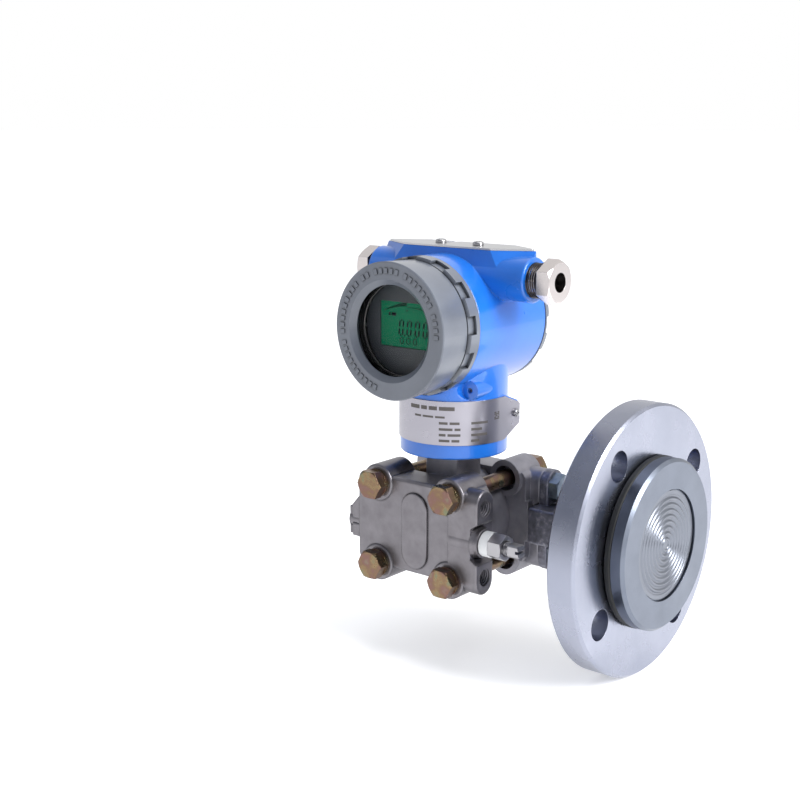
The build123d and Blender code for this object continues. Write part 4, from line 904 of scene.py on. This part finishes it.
@dataclass
class ButtonSpring:
    """Coil spring under an adjusting button.

    Attributes:
        side: Which button it lifts.
        x: Place of the button from the neck's axis.
        y: The same away from the display.
        floor_z: Height of the floor that it stands on.
        height: Its height at rest.
        travel: How far the button goes down; not used.
        coil: Radius of the coil.
        wire: Radius of the wire.
        turns: Number of turns.
        steps: Steps in one turn.
    """

    side: str
    x: float
    y: float = 8.0
    floor_z: float = 157.1
    height: float = 3.8
    travel: float = 1.5
    coil: float = 2.4
    wire: float = 0.3
    turns: float = 3.0
    steps: int = 32

    def build(self) -> None:
        """Sweeps the wire along its screw line, puts it on the housing in the CAD spring's place and gives
        it its own mesh.
        """
        mesh = bmesh.new()
        start = at(self.x + self.coil, self.y, self.floor_z + self.wire)
        bmesh.ops.create_circle(
            mesh, cap_ends=True, segments=8, radius=self.wire * MM,
            matrix=Matrix.Translation(start) @ Matrix.Rotation(math.pi / 2, 4, "X"),
        )
        rise = (self.height - 2 * self.wire) / (self.turns * self.steps)
        bmesh.ops.spin(
            mesh, geom=[*mesh.faces, *mesh.edges, *mesh.verts], cent=at(self.x, self.y, self.floor_z),
            axis=(0, 0, 1), dvec=(0, 0, rise * MM), angle=FULL_TURN * self.turns,
            steps=round(self.steps * self.turns), use_duplicate=False,
        )
        piece = finish_piece(mesh, f"{self.side}_spring_coil", "housing", SCREW_STEEL, True)
        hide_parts(f"{self.side}_spring")
        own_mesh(piece)


@dataclass
class Nameplate:
    """Etched print on the name plate, kept to plain bars and a square of blocks.

    Attributes:
        radius: Outer radius of the plate.
        lift: How far the print stands off it.
        rows: Height of each row's middle, the height of its bars, the angle where it starts and its
            bars and gaps in degrees.
        square_cells: Cells along a side of the square.
        square_angle: Angle where the square starts, in degrees.
        square_arc: Angle from one cell to the next.
        cell_arc: Angle that a cell covers.
        square_low: Foot of the square.
        square_rise: Height from one cell to the next.
        cell_height: Height of a cell.
    """

    radius: float = 33.05
    lift: float = 0.03
    rows: tuple[tuple[float, float, float, tuple[float, ...]], ...] = (
        (73.8, 2.3, -102.0, (12.0, 2.0, 7.0, 2.0, 9.0, 2.0, 16.0)),
        (68.7, 1.2, -96.0, (8.0, 2.0, 12.0, 2.0, 10.0)),
        (65.2, 1.5, -68.0, (9.0, 2.0, 10.0, 12.0, 19.0)),
        (61.6, 1.5, -68.0, (14.0, 2.0, 6.0, 11.0, 12.0)),
        (58.2, 1.5, -68.0, (7.0, 2.0, 13.0, 11.0, 18.0)),
        (54.8, 1.5, -68.0, (11.0, 2.0, 8.0, 12.0, 9.0)),
    )
    square_cells: int = 5
    square_angle: float = -7.0
    square_arc: float = 1.6
    cell_arc: float = 1.35
    square_low: float = 65.6
    square_rise: float = 0.95
    cell_height: float = 0.8

    def _patch(self, mesh: bmesh.types.BMesh, angle: float, arc: float, low: float, high: float) -> None:
        """Adds one thin curved mark on the band.

        Args:
            mesh: The print's mesh.
            angle: Where it starts, in degrees about the neck from +X.
            arc: Its length in degrees.
            low: Lower edge in millimetres.
            high: Upper edge in millimetres.
        """
        inside, outside = self.radius - self.lift, self.radius + self.lift
        turn = Matrix.Rotation(math.radians(angle), 3, "Z")
        profile = ((inside, low), (outside, low), (outside, high), (inside, high))
        neck = at(0, 0, 0)
        verts = [mesh.verts.new(turn @ (Vector((reach, 0, z)) * MM) + neck) for reach, z in profile]
        face = mesh.faces.new(verts)
        bmesh.ops.spin(
            mesh, geom=[face, *face.edges, *face.verts], cent=neck, axis=(0, 0, 1),
            angle=math.radians(arc), steps=max(2, round(arc)), use_duplicate=False,
        )

    def build(self) -> None:
        """Builds the rows of bars and the square as one piece."""
        mesh = bmesh.new()
        for middle, height, start, arcs in self.rows:
            angle = start
            for index, arc in enumerate(arcs):
                if index % 2 == 0:
                    self._patch(mesh, angle, arc, middle - height / 2, middle + height / 2)
                angle += arc
        for column in range(self.square_cells):
            for line in range(self.square_cells):
                # A plain weave of filled and empty cells that spells nothing
                if (column * 3 + line * 5 + column * line) % 3 != 1:
                    low = self.square_low + line * self.square_rise
                    angle = self.square_angle + column * self.square_arc
                    self._patch(mesh, angle, self.cell_arc, low, low + self.cell_height)
        finish_piece(mesh, "nameplate_print", "housing", ETCHED_PRINT, False)


@dataclass(frozen=True)
class Softbox:
    """One soft lamp.

    Attributes:
        name: Name of the light.
        place: Where it hangs, in metres.
        size: Width and height in metres.
        power: Watts.
    """

    name: str
    place: tuple[float, float, float]
    size: tuple[float, float]
    power: float

    def hang(self, aim: tuple[float, float, float]) -> None:
        """Hangs the lamp and turns it.

        Args:
            aim: The point it faces, in metres.
        """
        lamp = bpy.data.lights.new(self.name, "AREA")
        lamp.shape = "RECTANGLE"
        lamp.size, lamp.size_y = self.size
        lamp.energy = self.power
        holder = bpy.data.objects.new(self.name, lamp)
        bpy.context.scene.collection.objects.link(holder)
        holder.location = self.place
        holder.rotation_euler = (Vector(aim) - Vector(self.place)).to_track_quat("-Z", "Y").to_euler()


@dataclass
class Backdrop:
    """Floor, lights and camera of a plain studio.

    Attributes:
        floor_z: Height of the floor, in metres as all these are.
        floor_half: Half the floor's width.
        camera_place: Where the camera stands.
        camera_yaw: How far it is turned from +Y, in degrees.
        camera_pitch: How far it looks down, in degrees.
        lens: Focal length in millimetres.
        sensor: Width of the camera's sensor in millimetres.
        bright_side: Direction in which the room is brightest.
        horizon_fade: How soon the white at the horizon gives way to the room's tones above it.
        room_tones: The room's colours from its dull side, at 0, to its bright side, at 1.
        aim: The point that the lamps face.
        softboxes: The lamps.
    """

    floor_z: float = -0.0802
    floor_half: float = 30.0
    camera_place: tuple[float, float, float] = (0.36001, -0.65973, 0.23794)
    camera_yaw: float = 39.58
    camera_pitch: float = 11.87
    lens: float = 60.34
    sensor: float = 36.0
    bright_side: tuple[float, float, float] = (0.25, 0.97, 0.0)
    horizon_fade: float = 5.0
    room_tones: tuple[tuple[float, str], ...] = (
        (0.0, "#9CA0AA"), (0.22, "#A4A8B2"), (0.42, "#C4C8D0"), (0.60, "#FFFFFF"), (1.0, "#FFFFFF"),
    )
    aim: tuple[float, float, float] = (-0.06, -0.02, 0.05)
    softboxes: tuple[Softbox, ...] = (
        Softbox("right_softbox", (1.15, 0.05, 0.85), (0.5, 0.9), 27.0),
        Softbox("left_softbox", (-1.2, -0.7, 0.7), (0.5, 0.8), 0.8),
        Softbox("top_softbox", (0.0, 0.0, 1.4), (0.8, 0.8), 3.0),
    )

    def _floor(self) -> None:
        """Lays the pale floor."""
        mesh = bmesh.new()
        bmesh.ops.create_grid(mesh, x_segments=1, y_segments=1, size=self.floor_half)
        bmesh.ops.translate(mesh, verts=mesh.verts, vec=(0, 0, self.floor_z))
        data = bpy.data.meshes.new("studio_floor")
        mesh.to_mesh(data)
        mesh.free()
        floor = bpy.data.objects.new("studio_floor", data)
        bpy.context.scene.collection.objects.link(floor)
        dress(floor, WHITE_FLOOR)

    def _world(self) -> None:
        """Surrounds the scene with a white room that darkens above and behind the photographer."""
        world = bpy.data.worlds.new("studio_room")
        bpy.context.scene.world = world
        world.use_nodes = True
        tree = world.node_tree
        tree.nodes.clear()
        ways = add_node(tree, "ShaderNodeTexCoord").outputs["Generated"]
        across = add_node(tree, "ShaderNodeVectorMath", {"operation": "DOT_PRODUCT"}, links={0: ways})
        across.inputs[1].default_value = self.bright_side
        share = add_node(
            tree, "ShaderNodeMapRange", values={"From Min": -1.0, "From Max": 1.0},
            links={"Value": across.outputs["Value"]},
        )
        height = add_node(tree, "ShaderNodeSeparateXYZ", links={"Vector": ways})
        skirting = add_node(
            tree, "ShaderNodeMath", {"operation": "MULTIPLY_ADD"}, links={0: height.outputs["Z"]},
        )
        skirting.inputs[1].default_value = -self.horizon_fade
        skirting.inputs[2].default_value = 1.0
        tone = add_node(tree, "ShaderNodeMath", {"operation": "MAXIMUM"}, links={
            0: share.outputs["Result"], 1: skirting.outputs[0],
        })
        ramp = add_node(tree, "ShaderNodeValToRGB", links={"Fac": tone.outputs[0]})
        stops = ramp.color_ramp.elements
        while len(stops) < len(self.room_tones):
            stops.new(0.5)
        for stop, (position, code) in zip(stops, self.room_tones):
            stop.position = position
            stop.color = colour(code)
        room = add_node(
            tree, "ShaderNodeBackground", values={"Strength": 1.0}, links={"Color": ramp.outputs["Color"]},
        )
        add_node(tree, "ShaderNodeOutputWorld", links={"Surface": room.outputs[0]})

    def _camera(self) -> None:
        """Sets the camera where the photographer stood."""
        data = bpy.data.cameras.new("studio_camera")
        data.lens = self.lens
        data.sensor_width = self.sensor
        camera = bpy.data.objects.new("studio_camera", data)
        bpy.context.scene.collection.objects.link(camera)
        camera.location = self.camera_place
        camera.rotation_euler = (
            math.radians(90 - self.camera_pitch), 0.0, math.radians(self.camera_yaw),
        )
        bpy.context.scene.camera = camera

    def build(self) -> None:
        """Builds the studio."""
        self._floor()
        self._world()
        for softbox in self.softboxes:
            softbox.hang(self.aim)
        self._camera()
        bpy.context.scene.view_settings.view_transform = "Standard"
        LOG.info("built the studio")


def main() -> None:
    """Dresses the CAD pieces and builds everything that rides on them."""
    logging.basicConfig(level=logging.INFO, format="%(name)s: %(message)s")
    dress_nodes()
    Display().build()
    Nameplate().build()
    WindowRing().build()
    along, back, up = Vector((1, 0, 0)), Vector((-1, 0, 0)), Vector((0, 0, 1))
    Thread(
        "gland_thread", "gland_nut", "bright_metal", GREASY_THREAD,
        at(GLAND_THREAD_X, 0, CONDUIT_Z), along, up,
        core=9.3, crest=10.0, pitch=1.5, turns=10.8,
    ).build()
    Thread(
        "vent_stem_thread", "vent_stem", "turned_steel", TURNED_BAR,
        at(VENT_THREAD_X, NECK_Y, 0), along, up,
        core=3.36, crest=3.9, pitch=1.0, turns=3.2,
    ).build()
    for name, height in (("upper", EAR_HOLE_Z), ("lower", -EAR_HOLE_Z)):
        Thread(
            f"{name}_ear_thread", "process_unit", "cast_steel", PICKLED_STEEL,
            at(EAR_THREAD_X, NECK_Y, height), back, up, core=5.1, crest=4.55, pitch=1.5, turns=7.0,
        ).build()
    ButtonSpring("zero", BUTTON_X).build()
    ButtonSpring("span", -BUTTON_X).build()
    Backdrop().build()


if __name__ == "__main__":
    main()
